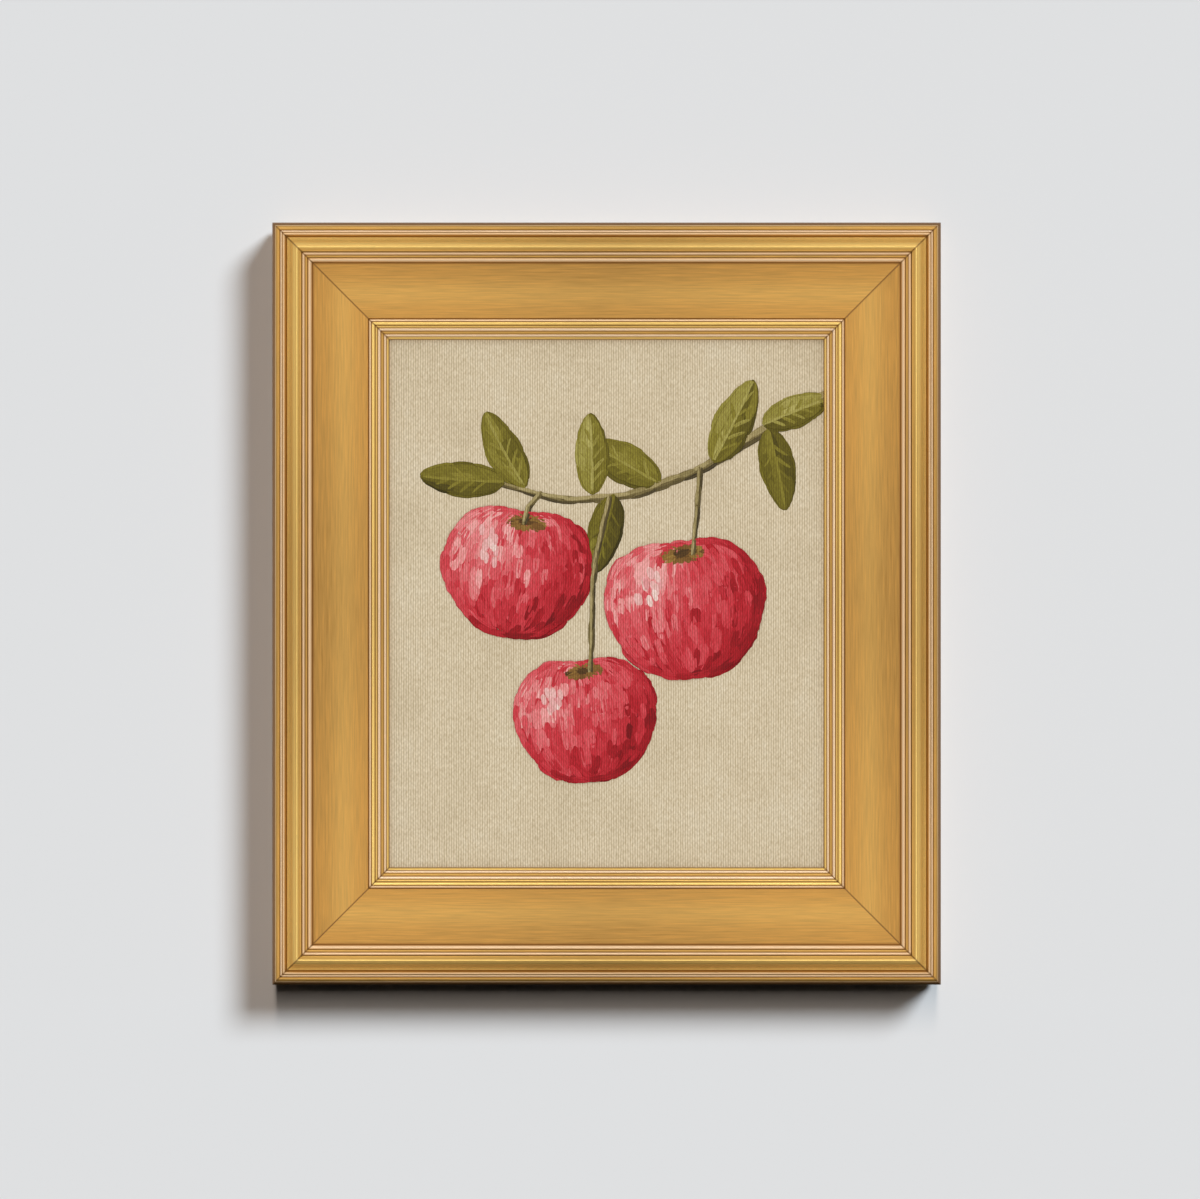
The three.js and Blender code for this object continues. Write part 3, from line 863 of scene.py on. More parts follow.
def cloth_section():
    """The cloth from the front edge round to its trimmed edge behind: inset, depth and length run."""
    r = CLOTH_EDGE
    turn = np.radians(np.linspace(0, 90, 6))
    front = np.stack([r - r * np.sin(turn), CLOTH_FRONT + r - r * np.cos(turn)], axis=1)
    side = np.linspace(CLOTH_FRONT + r, CLOTH_BACK - r, 7)[1:-1]
    side = np.stack([np.zeros_like(side), side], axis=1)
    behind = np.stack([r - r * np.cos(turn), CLOTH_BACK - r + r * np.sin(turn)], axis=1)
    over = np.linspace(r, TURNOVER, 14)[1:]
    over = np.stack([over, np.full_like(over, CLOTH_BACK)], axis=1)
    path = np.vstack([front, side, behind, over])
    run = np.concatenate([[0], np.cumsum(np.linalg.norm(np.diff(path, axis=0), axis=1))])
    return path, run


def along_places(half):
    """Places along a side from corner to corner, closer together where the corners are folded."""
    near = np.array([0, 0.25, 0.5, 0.75, 1.1, 1.8, 3, 5, 7, 9, 11, 13, 15, 17, 19]) * MM
    count = round(2 * (half - 20 * MM) / CLOTH_STEP)
    middle = np.linspace(-half + 21 * MM, half - 21 * MM, count)
    return np.concatenate([near - half, middle, (half - near)[::-1]])


def canvas_mesh():
    """The cloth's outer face: the front as a grid, and the sides and turnovers as mitred strips."""
    path, run = cloth_section()
    inset = path[0, 0]
    places = {"w": along_places(HALF_W - inset), "h": along_places(HALF_H - inset)}
    points, faces, flat = [], [], []

    def grid(rows, columns, place, reverse):
        first = len(points)
        for i in range(rows):
            for j in range(columns):
                point, cut = place(i, j)
                points.append(point)
                flat.append(cut)
        for i in range(rows - 1):
            for j in range(columns - 1):
                a = first + i * columns + j
                ring = (a, a + 1, a + columns + 1, a + columns)
                faces.append(ring[::-1] if reverse else ring)

    xs, zs = places["w"], places["h"]
    grid(
        len(zs),
        len(xs),
        lambda i, j: ((xs[j], CLOTH_FRONT, zs[i]), (xs[j], zs[i])),
        False,
    )
    trim = np.random.default_rng(11)
    for k in range(4):
        upright = k % 2 == 1
        half, reach = (HALF_H, HALF_W) if upright else (HALF_W, HALF_H)
        along = places["h" if upright else "w"]
        turn = Euler((0, k * math.pi / 2, 0)).to_matrix()
        waves = trim.uniform(0, 6.28, 3)
        ragged = trim.normal(0, 0.12 * MM, len(along))

        def place(i, j):
            in_from, depth = path[i]
            share = along[j] / (half - inset)
            a = share * (half - in_from)
            if depth >= CLOTH_BACK - 1e-9:
                over = (in_from - CLOTH_EDGE) / (TURNOVER - CLOTH_EDGE)
                stray = sum(math.sin(a * w + p) for w, p in zip((24, 61, 143), waves)) / 3
                in_from -= max(over, 0) ** 3 * (TRIM_WANDER * (1 + stray) + ragged[j])
                if not upright:
                    edge = half - in_from - abs(a)
                    rise = smooth_step(edge, 0, 0.9 * MM)
                    rise *= 1 - smooth_step(edge, FOLD_REACH - 4 * MM, FOLD_REACH)
                    depth += FOLD_RISE * float(rise) * min(1, 4 * max(over, 0))
            at = turn @ Vector((a, 0, reach - in_from))
            cut = turn @ Vector((along[j], 0, reach - inset + run[i]))
            return (at.x, depth, at.z), (cut.x, cut.z)

        grid(len(path), len(along), place, True)
    return points, faces, flat


def ribbed(tree, where):
    """The height of a plain weave whose upright threads stand out as ribs, some thicker than
    others, with the crossing threads in the gaps. It runs from about 0 to 1."""
    warped = node(
        tree, "ShaderNodeTexNoise", {"Vector": where, "Scale": 90.0, "Detail": 2.0}
    )  # threads wander about every 11 mm
    stray = sums(tree, "MULTIPLY", sums(tree, "SUBTRACT", warped.outputs[0], 0.5), 0.5 * MM)
    parts = node(tree, "ShaderNodeSeparateXYZ", {0: where}).outputs
    rib = sums(tree, "MULTIPLY", sums(tree, "ADD", parts[0], stray), math.pi * 1000 / RIB_MM)
    pick = sums(tree, "MULTIPLY", sums(tree, "ADD", parts[1], stray), math.pi * 1000 / PICK_MM)
    over = sums(tree, "MULTIPLY", sums(tree, "SINE", rib), sums(tree, "SINE", pick))
    height = sums(tree, "MULTIPLY", sums(tree, "ABSOLUTE", sums(tree, "SINE", rib)), 0.75)
    height = sums(tree, "MULTIPLY_ADD", over, 0.1, height)
    slub_scale = node(
        tree, "ShaderNodeVectorMath", {0: where, 1: (800, 420, 1)}, operation="MULTIPLY"
    )  # slubs about 1.3 mm wide and 2.4 mm long
    slubs = node(
        tree, "ShaderNodeTexNoise", {"Vector": slub_scale.outputs[0], "Scale": 1.0, "Detail": 3.0}
    )
    return sums(tree, "MULTIPLY_ADD", slubs.outputs[0], 1.2, sums(tree, "SUBTRACT", height, 0.6))


def shaded_weave(tree, colour, weave):
    """The colour darkened in the weave's gaps and lightened on its threads: paint lying thinner on
    the threads, and painted shade and light on the weave's relief.
    """
    share = node(
        tree,
        "ShaderNodeMix",
        {0: weave, 6: (0.66, 0.62, 0.54, 1), 7: (1.17, 1.21, 1.3, 1)},
        data_type="RGBA",
    )
    return node(
        tree,
        "ShaderNodeMix",
        {0: 1.0, 6: colour, 7: share.outputs[2]},
        data_type="RGBA",
        blend_type="MULTIPLY",
    ).outputs[2]


def painted_ground():
    """Thin oil paint over primed canvas: a warm grey ground scrubbed in patches, satin, with the
    canvas's ribs showing through. Past the picture's edge the white primer is bare."""
    material, tree = new_material("Oil ground on primed canvas")
    cloth = node(tree, "ShaderNodeUVMap", uv_map="cloth").outputs[0]
    weave = ribbed(tree, cloth)
    patches = node(
        tree, "ShaderNodeTexNoise", {"Vector": cloth, "Scale": 22.0, "Detail": 5.0, "Roughness": 0.62}
    )  # patches about 45 mm across, down to 3 mm
    scrub = node(
        tree, "ShaderNodeVectorMath", {0: cloth, 1: (240, 90, 1)}, operation="MULTIPLY"
    )
    strokes = node(
        tree,
        "ShaderNodeTexNoise",
        {"Vector": scrub.outputs[0], "Scale": 1.0, "Detail": 3.0, "Distortion": 1.2},
    )
    tone = sums(tree, "MULTIPLY_ADD", patches.outputs[0], 0.34, 0.33)
    tone = sums(tree, "MULTIPLY_ADD", strokes.outputs[0], 0.16, tone)
    ramp = node(tree, "ShaderNodeValToRGB", {"Fac": tone})
    ramp.color_ramp.elements.new(0.5)
    for stop, (at, code) in zip(ramp.color_ramp.elements, zip((0.3, 0.58, 0.85), GROUND_HEX)):
        stop.position = at
        stop.color = srgb(code)
    edge = node(tree, "ShaderNodeAttribute", attribute_name="wrap").outputs["Fac"]
    bare = node(
        tree,
        "ShaderNodeMapRange",
        {
            "Value": sums(tree, "MULTIPLY_ADD", strokes.outputs[0], 8 * MM, edge),
            "From Min": 8 * MM,
            "From Max": 9 * MM,
        },
    )
    tint = node(
        tree,
        "ShaderNodeMix",
        {0: bare.outputs[0], 6: ramp.outputs[0], 7: srgb("#e4e1d8")},
        data_type="RGBA",
    )
    woven = shaded_weave(tree, tint.outputs[2], weave)
    relief_height = sums(tree, "MULTIPLY_ADD", strokes.outputs[0], 0.5, weave)
    bump = node(tree, "ShaderNodeBump", {"Height": relief_height, "Distance": 0.12 * MM})
    shader = node(
        tree,
        "ShaderNodeBsdfPrincipled",
        {
            "Base Color": woven,
            "Roughness": 0.62,
            "Specular IOR Level": 0.2,
            "Normal": bump.outputs[0],
        },
    )
    node(tree, "ShaderNodeOutputMaterial", {"Surface": shader.outputs[0]})
    return material


def raw_canvas():
    """Unprimed cotton duck, the cloth's inner face: matt, oatmeal, with its plain weave showing."""
    material, tree = new_material("Cotton duck, unprimed")
    cloth = node(tree, "ShaderNodeUVMap", uv_map="cloth").outputs[0]
    weave = ribbed(tree, cloth)
    seeds = node(tree, "ShaderNodeTexNoise", {"Vector": cloth, "Scale": 500.0, "Detail": 2.0})
    # painted shade: the weave's gaps darker and its threads lighter
    tone = sums(tree, "MULTIPLY_ADD", seeds.outputs[0], 0.5, sums(tree, "MULTIPLY", weave, 0.5))
    tint = node(
        tree,
        "ShaderNodeMix",
        {0: tone, 6: srgb("#a8967a"), 7: srgb("#e0d3ba")},
        data_type="RGBA",
    )
    bump = node(tree, "ShaderNodeBump", {"Height": weave, "Distance": 0.2 * MM})
    shader = node(
        tree,
        "ShaderNodeBsdfPrincipled",
        {"Base Color": tint.outputs[2], "Roughness": 0.9, "Normal": bump.outputs[0]},
    )
    node(tree, "ShaderNodeOutputMaterial", {"Surface": shader.outputs[0]})
    return material


points, faces, flat = canvas_mesh()
canvas = mesh_object("stretched_canvas", points, faces, painted_ground())
canvas.data.materials.append(raw_canvas())
cloth_map = canvas.data.uv_layers.new(name="cloth")
for loop in canvas.data.loops:
    cloth_map.data[loop.index].uv = flat[loop.vertex_index]
flat = np.array(flat)
past = np.maximum(np.abs(flat[:, 0]) - HALF_W, np.abs(flat[:, 1]) - HALF_H)
wrap = canvas.data.attributes.new("wrap", "FLOAT", "POINT")
wrap.data.foreach_set("value", np.maximum(past, 0).astype(np.float32))
weld = bmesh.new()
weld.from_mesh(canvas.data)
bmesh.ops.remove_doubles(weld, verts=weld.verts, dist=2e-6)
bmesh.ops.translate(weld, verts=weld.verts, vec=(0, 0, CANVAS_CENTRE.z))
weld.to_mesh(canvas.data)
weld.free()
canvas.data.shade_smooth()
thickness = canvas.modifiers.new("Cloth thickness", "SOLIDIFY")
thickness.thickness = CLOTH_T
thickness.offset = -1
thickness.use_even_offset = True
thickness.material_offset = 1
thickness.material_offset_rim = 1
finish_piece(canvas, "painted_canvas", "canvas")

# ------------------------------------------------------------------------------------ oil paint
# A branch with three apples, laid on the ground with a flat bristle brush. Each brush stroke is a
# daub of thick paint with its own two colours, draped over the strokes that were there before it.
DAUB_POINTS = 9
DAUB_WIDTHS = np.array([0.35, 0.8, 0.97, 1, 0.98, 0.94, 0.87, 0.72, 0.3])
DAUB_THICKNESS = np.array([0.5, 1, 1, 0.9, 0.85, 0.8, 0.75, 0.65, 0.35])
# The daub's section: place across it from -1 to 1, and height over what it lies on. The brush
# pushes the paint into two small ridges at its sides.
DAUB_SECTION = {
    "u": (-1, -0.93, -0.72, -0.25, 0.25, 0.72, 0.93, 1),
    "h": (-0.7, 0.6, 1, 0.72, 0.82, 1, 0.6, -0.7),
}
SIGHT_HALF = (121, 147)  # millimetres
LIP_CLEAR = 0.2  # paint that runs under the frame's lip is no thicker
HEIGHT_CELL = 0.5

hand = np.random.default_rng(21)
grid_x = round(2 * (SIGHT_HALF[0] + 6) / HEIGHT_CELL)
grid_z = round(2 * (SIGHT_HALF[1] + 6) / HEIGHT_CELL)
paint_height = np.zeros((grid_x, grid_z))


def cells(points):
    """The height map's cells under points, in millimetres from the picture's middle."""
    at = (np.asarray(points) + np.array(SIGHT_HALF) + 6) / HEIGHT_CELL
    return (
        np.clip(at[..., 0], 0, grid_x - 1).astype(int),
        np.clip(at[..., 1], 0, grid_z - 1).astype(int),
    )


def lay(layer, start, end, bend, width, thick, colour, other):
    """Lays one daub from start to end, bowed sideways by bend times its length."""
    start, end = np.asarray(start, float), np.asarray(end, float)
    t = np.linspace(0, 1, DAUB_POINTS)[:, None]
    sideways = np.array([start[1] - end[1], end[0] - start[0]])
    middle = (start + end) / 2 + sideways * bend
    path = (1 - t) ** 2 * start + 2 * t * (1 - t) * middle + t**2 * end
    half = width / 2 * DAUB_WIDTHS * (1 + hand.normal(0, 0.04, DAUB_POINTS))
    across = np.gradient(path, axis=0)
    across = np.stack([-across[:, 1], across[:, 0]], axis=1)
    across /= np.linalg.norm(across, axis=1, keepdims=True) + 1e-9
    samples = [paint_height[cells(path + across * (half * lane)[:, None])] for lane in (-0.6, 0, 0.6)]
    base = np.max(samples, axis=0)
    base = np.convolve(np.pad(base, 1, "edge"), [0.25, 0.5, 0.25], "valid")
    inside = np.min(np.array(SIGHT_HALF) - np.abs(path), axis=1)
    room_over = LIP_CLEAR + np.clip(inside - 1, 0, 4) * 0.5
    body = thick * DAUB_THICKNESS
    base = np.clip(np.minimum(base, room_over - body), 0, None)
    run = np.concatenate([[0], np.cumsum(np.linalg.norm(np.diff(path, axis=0), axis=1))])
    layer.append((path, half, base, body, run + hand.uniform(0, 900), colour, other))
    for (x, z), radius, top in zip(path, half, base + body):
        i, j = cells((x, z))
        n = int(radius / HEIGHT_CELL)
        window = paint_height[max(i - n, 0) : i + n + 1, max(j - n, 0) : j + n + 1]
        np.maximum(window, top * 0.9, out=window)


def mixed(a, b, share):
    """Two hex colours' mix on the palette, as linear values."""
    return np.array(srgb(a)) * (1 - share) + np.array(srgb(b)) * share


def off_ramp(colours, value):
    """The colour at value, 0 to 1, along a list of hex colours."""
    at = float(np.clip(value, 0, 1)) * (len(colours) - 1)
    i = min(int(at), len(colours) - 2)
    return mixed(colours[i], colours[i + 1], at - i)


APPLE = ["#740007", "#9d0713", "#c01f2b", "#d63f48", "#e66c70", "#f7b3ad"]
BLUSH = ["#4a3413", "#7d5524", "#a8863c"]
LEAF = ["#332c02", "#554b0c", "#736818", "#91862f", "#b8ae62"]
BARK = ["#3e3420", "#63552f", "#8a7a48", "#b3a26f"]
SHINE = ["#e58f90", "#f0b9b3", "#f8d9cf"]
LIGHT = np.array([-0.5, 0.58, 0.64])
HOLLOW = np.array([0.03, 0.66])

# middle across and up, half width, lean in degrees
APPLES = [(-12, -64, 40, 5), (-50, 18, 42, -8), (44, -2, 45, 7)]
# foot, direction in degrees, length, width, how much light it takes
LEAVES = [
    (28, 68, 150, 43, 22, 0.7),
    (60, 80, 64, 50, 22, 0.85),
    (90, 97, -78, 46, 20, 0.5),
    (88, 100, 22, 38, 18, 0.85),
    (4, 60, -104, 44, 19, 0.3),
    (-46, 66, 118, 46, 20, 0.75),
    (-58, 68, 176, 46, 20, 0.55),
    (-8, 62, 92, 44, 19, 0.9),
]
BRANCH = [(124, 116), (88, 96), (52, 74), (14, 60), (-24, 57), (-62, 67)]
TWIGS = [
    [(-36, 62), (-43, 56), (-46, 44)],
    [(52, 76), (51, 54), (48, 27)],
    [(2, 60), (-7, 20), (-9, -38)],
]


def brush_along(layer, path, width, taper, palette, thick):
    """A branch: overlapping daubs along a path, lit from above left."""
    path = np.array(path, float)
    legs = np.linalg.norm(np.diff(path, axis=0), axis=1)
    total = legs.sum()
    run = np.concatenate([[0], np.cumsum(legs)])
    for lane, value in ((0, 0.15), (-0.45, 0.1), (0.4, 0.55), (0.1, 0.4), (0.55, 0.85)):
        at = 0.0
        while at < total:
            length = min(hand.uniform(10, 17), total - at + 2)
            ends = []
            for where in (at, min(at + length, total)):
                x, z = (np.interp(where, run, path[:, i]) for i in (0, 1))
                ends.append(np.array([x, z]))
            way = ends[1] - ends[0]
            if np.linalg.norm(way) < 1:
                break
            way /= np.linalg.norm(way)
            local = width * (1 - taper * at / total)
            up = np.array([way[1], -way[0]]) * (1 if way[0] < 0 else -1)
            shift = up * lane * local * 0.5 + hand.normal(0, 0.25, 2)
            tone = value + hand.normal(0, 0.1)
            lay(
                layer,
                ends[0] + shift,
                ends[1] + shift,
                hand.normal(0, 0.02),
                local * hand.uniform(0.42, 0.6),
                thick,
                off_ramp(palette, tone),
                off_ramp(palette, tone + 0.25),
            )
            at += length * 0.8


def brush_leaf(layer, foot_x, foot_z, degrees, length, width, light, thick):
    """A leaf: long daubs bowed from foot to tip on both sides of its midrib, then short side veins.
    The half that faces the light is paler."""
    way = np.array([math.cos(math.radians(degrees)), math.sin(math.radians(degrees))])
    side = np.array([-way[1], way[0]])
    foot = np.array([foot_x, foot_z], float)
    curl = hand.uniform(-0.1, 0.1)

    def at(t, out):
        belly = math.sin(math.pi * min(max(t, 0), 1) ** 0.85)
        return foot + way * length * t + side * (out * width / 2 * belly + length * curl * t * (1 - t))

    for lane, across, step in ((0.72, 0.34, 0), (0.36, 0.36, 0.06), (0.62, 0.26, 0.1), (0.2, 0.2, 0.14)):
        for half in (1, -1):
            faces_light = float(np.dot(side * half, (-0.65, 0.76)))
            for start, end in ((0.0, 0.5), (0.3, 0.78), (0.58, 1.0)):
                tone = 0.1 + light * 0.5 + 0.2 * faces_light + step + hand.normal(0, 0.06)
                begin = at(start + hand.uniform(-0.03, 0.03), half * lane)
                stop = at(end + hand.uniform(-0.03, 0.0), half * lane)
                middle = at((start + end) / 2, half * lane)
                chord = stop - begin
                normal = np.array([-chord[1], chord[0]])
                bend = 2 * float(np.dot(middle - (begin + stop) / 2, normal)) / float(chord @ chord)
                lay(
                    layer,
                    begin,
                    stop,
                    bend,
                    width * across * hand.uniform(0.85, 1.1),
                    thick,
                    off_ramp(LEAF, tone),
                    off_ramp(LEAF, tone + hand.choice((-0.13, 0.13))),
                )
    for i in range(9):
        t = 0.12 + 0.075 * i
        half = 1 if i % 2 else -1
        tone = 0.35 + light * 0.55 + hand.normal(0, 0.05)
        lay(
            layer,
            at(t, half * 0.05),
            at(t + 0.16, half * 0.72),
            -0.08 * half,
            hand.uniform(1.2, 2.2),
            thick * 0.8,
            off_ramp(LEAF, tone),
            off_ramp(LEAF, tone - 0.15),
        )
    for t in (0.0, 0.3, 0.6):
        tone = light * 0.6 + 0.35
        lay(
            layer,
            at(t, 0),
            at(t + 0.36, 0),
            0.02,
            1.6,
            thick,
            off_ramp(LEAF, tone),
            off_ramp(LEAF, tone + 0.1),
        )


def apple_edge(p, q):
    """How far a place on the apple is from its middle, 1 at the outline. The top has a dip."""
    dip = 0.17 * math.exp(-((p / 0.36) ** 2)) if q > 0 else 0.07 * math.exp(-((p / 0.22) ** 2))
    return math.hypot(p / (1 + 0.12 * q - 0.06 * q * q), q / (0.95 * (1 - dip)))


def apple_value(p, q):
    """How light the apple is there: lit from above left, with a little light thrown back below."""
    depth = math.sqrt(max(1 - p * p - q * q, 0.0))
    value = 0.32 + 0.5 * float(np.array([p, q, depth]) @ LIGHT)
    value += 0.16 * smooth_step(p * 0.75 - q * 0.55, 0.72, 1.0)
    value -= 0.34 * math.exp(-(((p - HOLLOW[0]) / 0.3) ** 2) - ((q - HOLLOW[1]) / 0.1) ** 2)
    return float(value)


def brush_apple(layer, x, z, half_width, lean):
    """An apple from the side: broad daubs from stalk to flower end, then smaller ones over them,
    a firm outline, the hollow at its stalk and a highlight."""
    c, s = math.cos(math.radians(lean)), math.sin(math.radians(lean))

    def put(at):
        return np.array([x, z]) + half_width * np.array([at[0] * c - at[1] * s, at[0] * s + at[1] * c])

    def pulled_in(at):
        return at * min(1, 0.95 / max(apple_edge(*at), 1e-6))

    def dab(at, way, length, width, thick, colours, value, bend=0.0):
        a, b = pulled_in(at - way * length / 2), pulled_in(at + way * length / 2)
        lay(
            layer,
            put(a),
            put(b),
            bend,
            half_width * width,
            thick,
            off_ramp(colours, value),
            off_ramp(colours, value + hand.choice((-0.17, 0.17))),
        )

    # a thin first coat that leaves no canvas bare between the daubs over it
    for p in np.linspace(-0.72, 0.72, 6):
        for q in (0.34, -0.36):
            dab(np.array([p, q]), np.array([0.0, -1.0]), 0.8, 0.34, 0.06, APPLE, apple_value(p, q))
    # broad first, then finer: how many, length, width, how far the tone strays
    passes = ((110, 0.5, 0.24, 0.05), (130, 0.36, 0.16, 0.09), (120, 0.26, 0.09, 0.13))
    for count, length, width, stray in passes:
        spots = hand.uniform(-1, 1, (count * 2, 2))
        spots = [spot for spot in spots if apple_edge(*spot) < 0.94][:count]
        tones = [apple_value(*spot) + hand.normal(0, stray) for spot in spots]
        for value, (p, q) in sorted(zip(tones, map(tuple, spots))):
            rim = apple_edge(p, q) ** 5
            way = np.array([-p * q, 1.05 - q * q])
            round_way = np.array([-q, p]) * (1 if -q * way[0] + p * way[1] > 0 else -1)
            way = way / np.linalg.norm(way) * (1 - rim) + round_way * rim
            way = -way / np.linalg.norm(way)
            dab(np.array([p, q]), way, length * hand.uniform(0.75, 1.15), width, 0.1, APPLE, value)
    for turn in np.arange(0, 2 * math.pi, 0.2):
        at = pulled_in(np.array([math.cos(turn), math.sin(turn)]) * 1.2) * 0.985
        way = np.array([-math.sin(turn), math.cos(turn)]) * (-1 if math.cos(turn) > 0 else 1)
        value = apple_value(*(at * 0.97)) - 0.03 + hand.normal(0, 0.05)
        dab(at, way, 0.3, 0.09, 0.1, APPLE, value, 0.14 if math.cos(turn) > 0 else -0.14)
    for turn in np.arange(0, 2 * math.pi, 0.42):
        way = np.array([math.cos(turn), 0.42 * math.sin(turn)])
        at = HOLLOW + way * 0.19
        value = 0.35 + 0.5 * apple_value(*at) + hand.normal(0, 0.08)
        dab(at, way, 0.2, 0.09, 0.1, BLUSH, value)
    for _ in range(9):
        at = HOLLOW + hand.normal(0, 1, 2) * (0.07, 0.025)
        dab(at, np.array([1.0, 0.1]), 0.13, 0.06, 0.08, BLUSH, 0.02 + abs(hand.normal(0, 0.1)))
    for _ in range(14):
        at = np.array([-0.42, 0.3]) + hand.normal(0, 1, 2) * (0.07, 0.12)
        dab(at, np.array([0.12, -1.0]), 0.15, 0.075, 0.22, SHINE, 0.5 + hand.normal(0, 0.25))


def daubs_tree():
    """Each polyline swept by the daub's section, as wide, thick and high as its points say."""
    tree, given = new_tree("Daubs", {"Section": "Object", "Paint": "Material"})
    paths = node(tree, "GeometryNodeMeshToCurve", {"Mesh": given["Geometry"]})
    centre = node(
        tree,
        "GeometryNodeStoreNamedAttribute",
        {
            "Geometry": paths.outputs[0],
            "Name": "centre",
            "Value": node(tree, "GeometryNodeInputPosition").outputs[0],
        },
        data_type="FLOAT_VECTOR",
        domain="POINT",
    )
    tangent = node(tree, "GeometryNodeInputTangent").outputs[0]
    across = node(
        tree, "ShaderNodeVectorMath", {0: (0, 0, 1), 1: tangent}, operation="CROSS_PRODUCT"
    )
    sided = node(
        tree,
        "GeometryNodeStoreNamedAttribute",
        {"Geometry": centre.outputs[0], "Name": "across", "Value": across.outputs[0]},
        data_type="FLOAT_VECTOR",
        domain="POINT",
    )
    section = node(tree, "GeometryNodeObjectInfo", {"Object": given["Section"]})
    outline = node(tree, "GeometryNodeMeshToCurve", {"Mesh": section.outputs["Geometry"]})
    swept = node(
        tree,
        "GeometryNodeCurveToMesh",
        {"Curve": sided.outputs[0], "Profile Curve": outline.outputs[0], "Fill Caps": True},
    )
    off_middle = sums(tree, "MULTIPLY", named(tree, "u"), named(tree, "half"))
    shift = node(
        tree,
        "ShaderNodeVectorMath",
        {0: named(tree, "across", "FLOAT_VECTOR"), "Scale": off_middle},
        operation="SCALE",
    )
    high = sums(
        tree, "MULTIPLY_ADD", named(tree, "h"), named(tree, "body"), named(tree, "base")
    )
    lift = node(tree, "ShaderNodeCombineXYZ", {"Z": high})
    place = node(
        tree,
        "ShaderNodeVectorMath",
        {0: named(tree, "centre", "FLOAT_VECTOR"), 1: shift.outputs[0]},
        operation="ADD",
    )
    place = node(
        tree, "ShaderNodeVectorMath", {0: place.outputs[0], 1: lift.outputs[0]}, operation="ADD"
    )
    laid = node(
        tree,
        "GeometryNodeSetPosition",
        {"Geometry": swept.outputs[0], "Position": place.outputs[0]},
    )
    bristles = node(tree, "ShaderNodeCombineXYZ", {"X": named(tree, "run"), "Y": off_middle})
    mapped = node(
        tree,
        "GeometryNodeStoreNamedAttribute",
        {"Geometry": laid.outputs[0], "Name": "bristles", "Value": bristles.outputs[0]},
        data_type="FLOAT2",
        domain="CORNER",
    )
    smooth = node(tree, "GeometryNodeSetShadeSmooth", {"Geometry": mapped.outputs[0]})
    real = node(tree, "GeometryNodeRealizeInstances", {0: smooth.outputs[0]})
    painted = node(
        tree,
        "GeometryNodeSetMaterial",
        {"Geometry": real.outputs[0], "Material": given["Paint"]},
    )
    upright = node(
        tree,
        "GeometryNodeTransform",
        {
            "Geometry": painted.outputs[0],
            "Translation": (0, CLOTH_FRONT, FRAME_CENTRE_Z),
            "Rotation": Euler((math.pi / 2, 0, 0)),
        },
    )
    node(tree, "NodeGroupOutput", {0: upright.outputs[0]})
    return tree


def oil_paint():
    """Oil paint from a bristle brush: satin, two colours half mixed in streaks, with fine ridges
    along each stroke and the canvas's ribs showing through the thin parts."""
    material, tree = new_material("Oil paint, brushed")
    bristles = node(tree, "ShaderNodeUVMap", uv_map="bristles").outputs[0]
    comb = node(
        tree, "ShaderNodeVectorMath", {0: bristles, 1: (110, 2600, 1)}, operation="MULTIPLY"
    )  # bristle marks about 0.4 mm wide and 9 mm long
    streaks = node(
        tree,
        "ShaderNodeTexNoise",
        {"Vector": comb.outputs[0], "Scale": 1.0, "Detail": 2.5, "Roughness": 0.6},
    )
    share = node(
        tree,
        "ShaderNodeMapRange",
        {"Value": streaks.outputs[0], "From Min": 0.42, "From Max": 0.66},
    )
    tint = node(
        tree,
        "ShaderNodeMix",
        {
            0: share.outputs[0],
            6: node(tree, "ShaderNodeAttribute", attribute_name="tint").outputs["Color"],
            7: node(tree, "ShaderNodeAttribute", attribute_name="other").outputs["Color"],
        },
        data_type="RGBA",
    )
    place = node(tree, "ShaderNodeTexCoord").outputs["Object"]
    parts = node(tree, "ShaderNodeSeparateXYZ", {0: place}).outputs
    front = node(
        tree,
        "ShaderNodeCombineXYZ",
        {"X": parts["X"], "Y": sums(tree, "SUBTRACT", parts["Z"], CANVAS_CENTRE.z)},
    )
    weave = ribbed(tree, front.outputs[0])
    # painted shade and light on the weave, as in the ground
    woven = shaded_weave(tree, tint.outputs[2], weave)
    ridge_height = sums(tree, "MULTIPLY_ADD", weave, 0.7, streaks.outputs[0])
    bump = node(tree, "ShaderNodeBump", {"Height": ridge_height, "Distance": 0.14 * MM})
    shader = node(
        tree,
        "ShaderNodeBsdfPrincipled",
        {
            "Base Color": woven,
            "Roughness": 0.5,
            "Specular IOR Level": 0.2,
            "Normal": bump.outputs[0],
        },
    )
    node(tree, "ShaderNodeOutputMaterial", {"Surface": shader.outputs[0]})
    return material


def paint_object(name, layer):
    """The layer's daubs as polylines, with everything that the tree and the paint read."""
    paths = np.concatenate([daub[0] for daub in layer]) * MM
    edges = [
        (n * DAUB_POINTS + i, n * DAUB_POINTS + i + 1)
        for n in range(len(layer))
        for i in range(DAUB_POINTS - 1)
    ]
    mesh = bpy.data.meshes.new(name)
    mesh.from_pydata([(x, z, 0) for x, z in paths], edges, [])
    for title, column in (("half", 1), ("base", 2), ("body", 3), ("run", 4)):
        attribute = mesh.attributes.new(title, "FLOAT", "POINT")
        values = np.concatenate([daub[column] for daub in layer]) * MM
        attribute.data.foreach_set("value", values.astype(np.float32))
    for title, column in (("tint", 5), ("other", 6)):
        attribute = mesh.attributes.new(title, "FLOAT_COLOR", "POINT")
        values = np.repeat([daub[column] for daub in layer], DAUB_POINTS, axis=0)
        attribute.data.foreach_set("color", values.astype(np.float32).ravel())
    made = bpy.data.objects.new(name, mesh)
    bpy.context.scene.collection.objects.link(made)
    return made


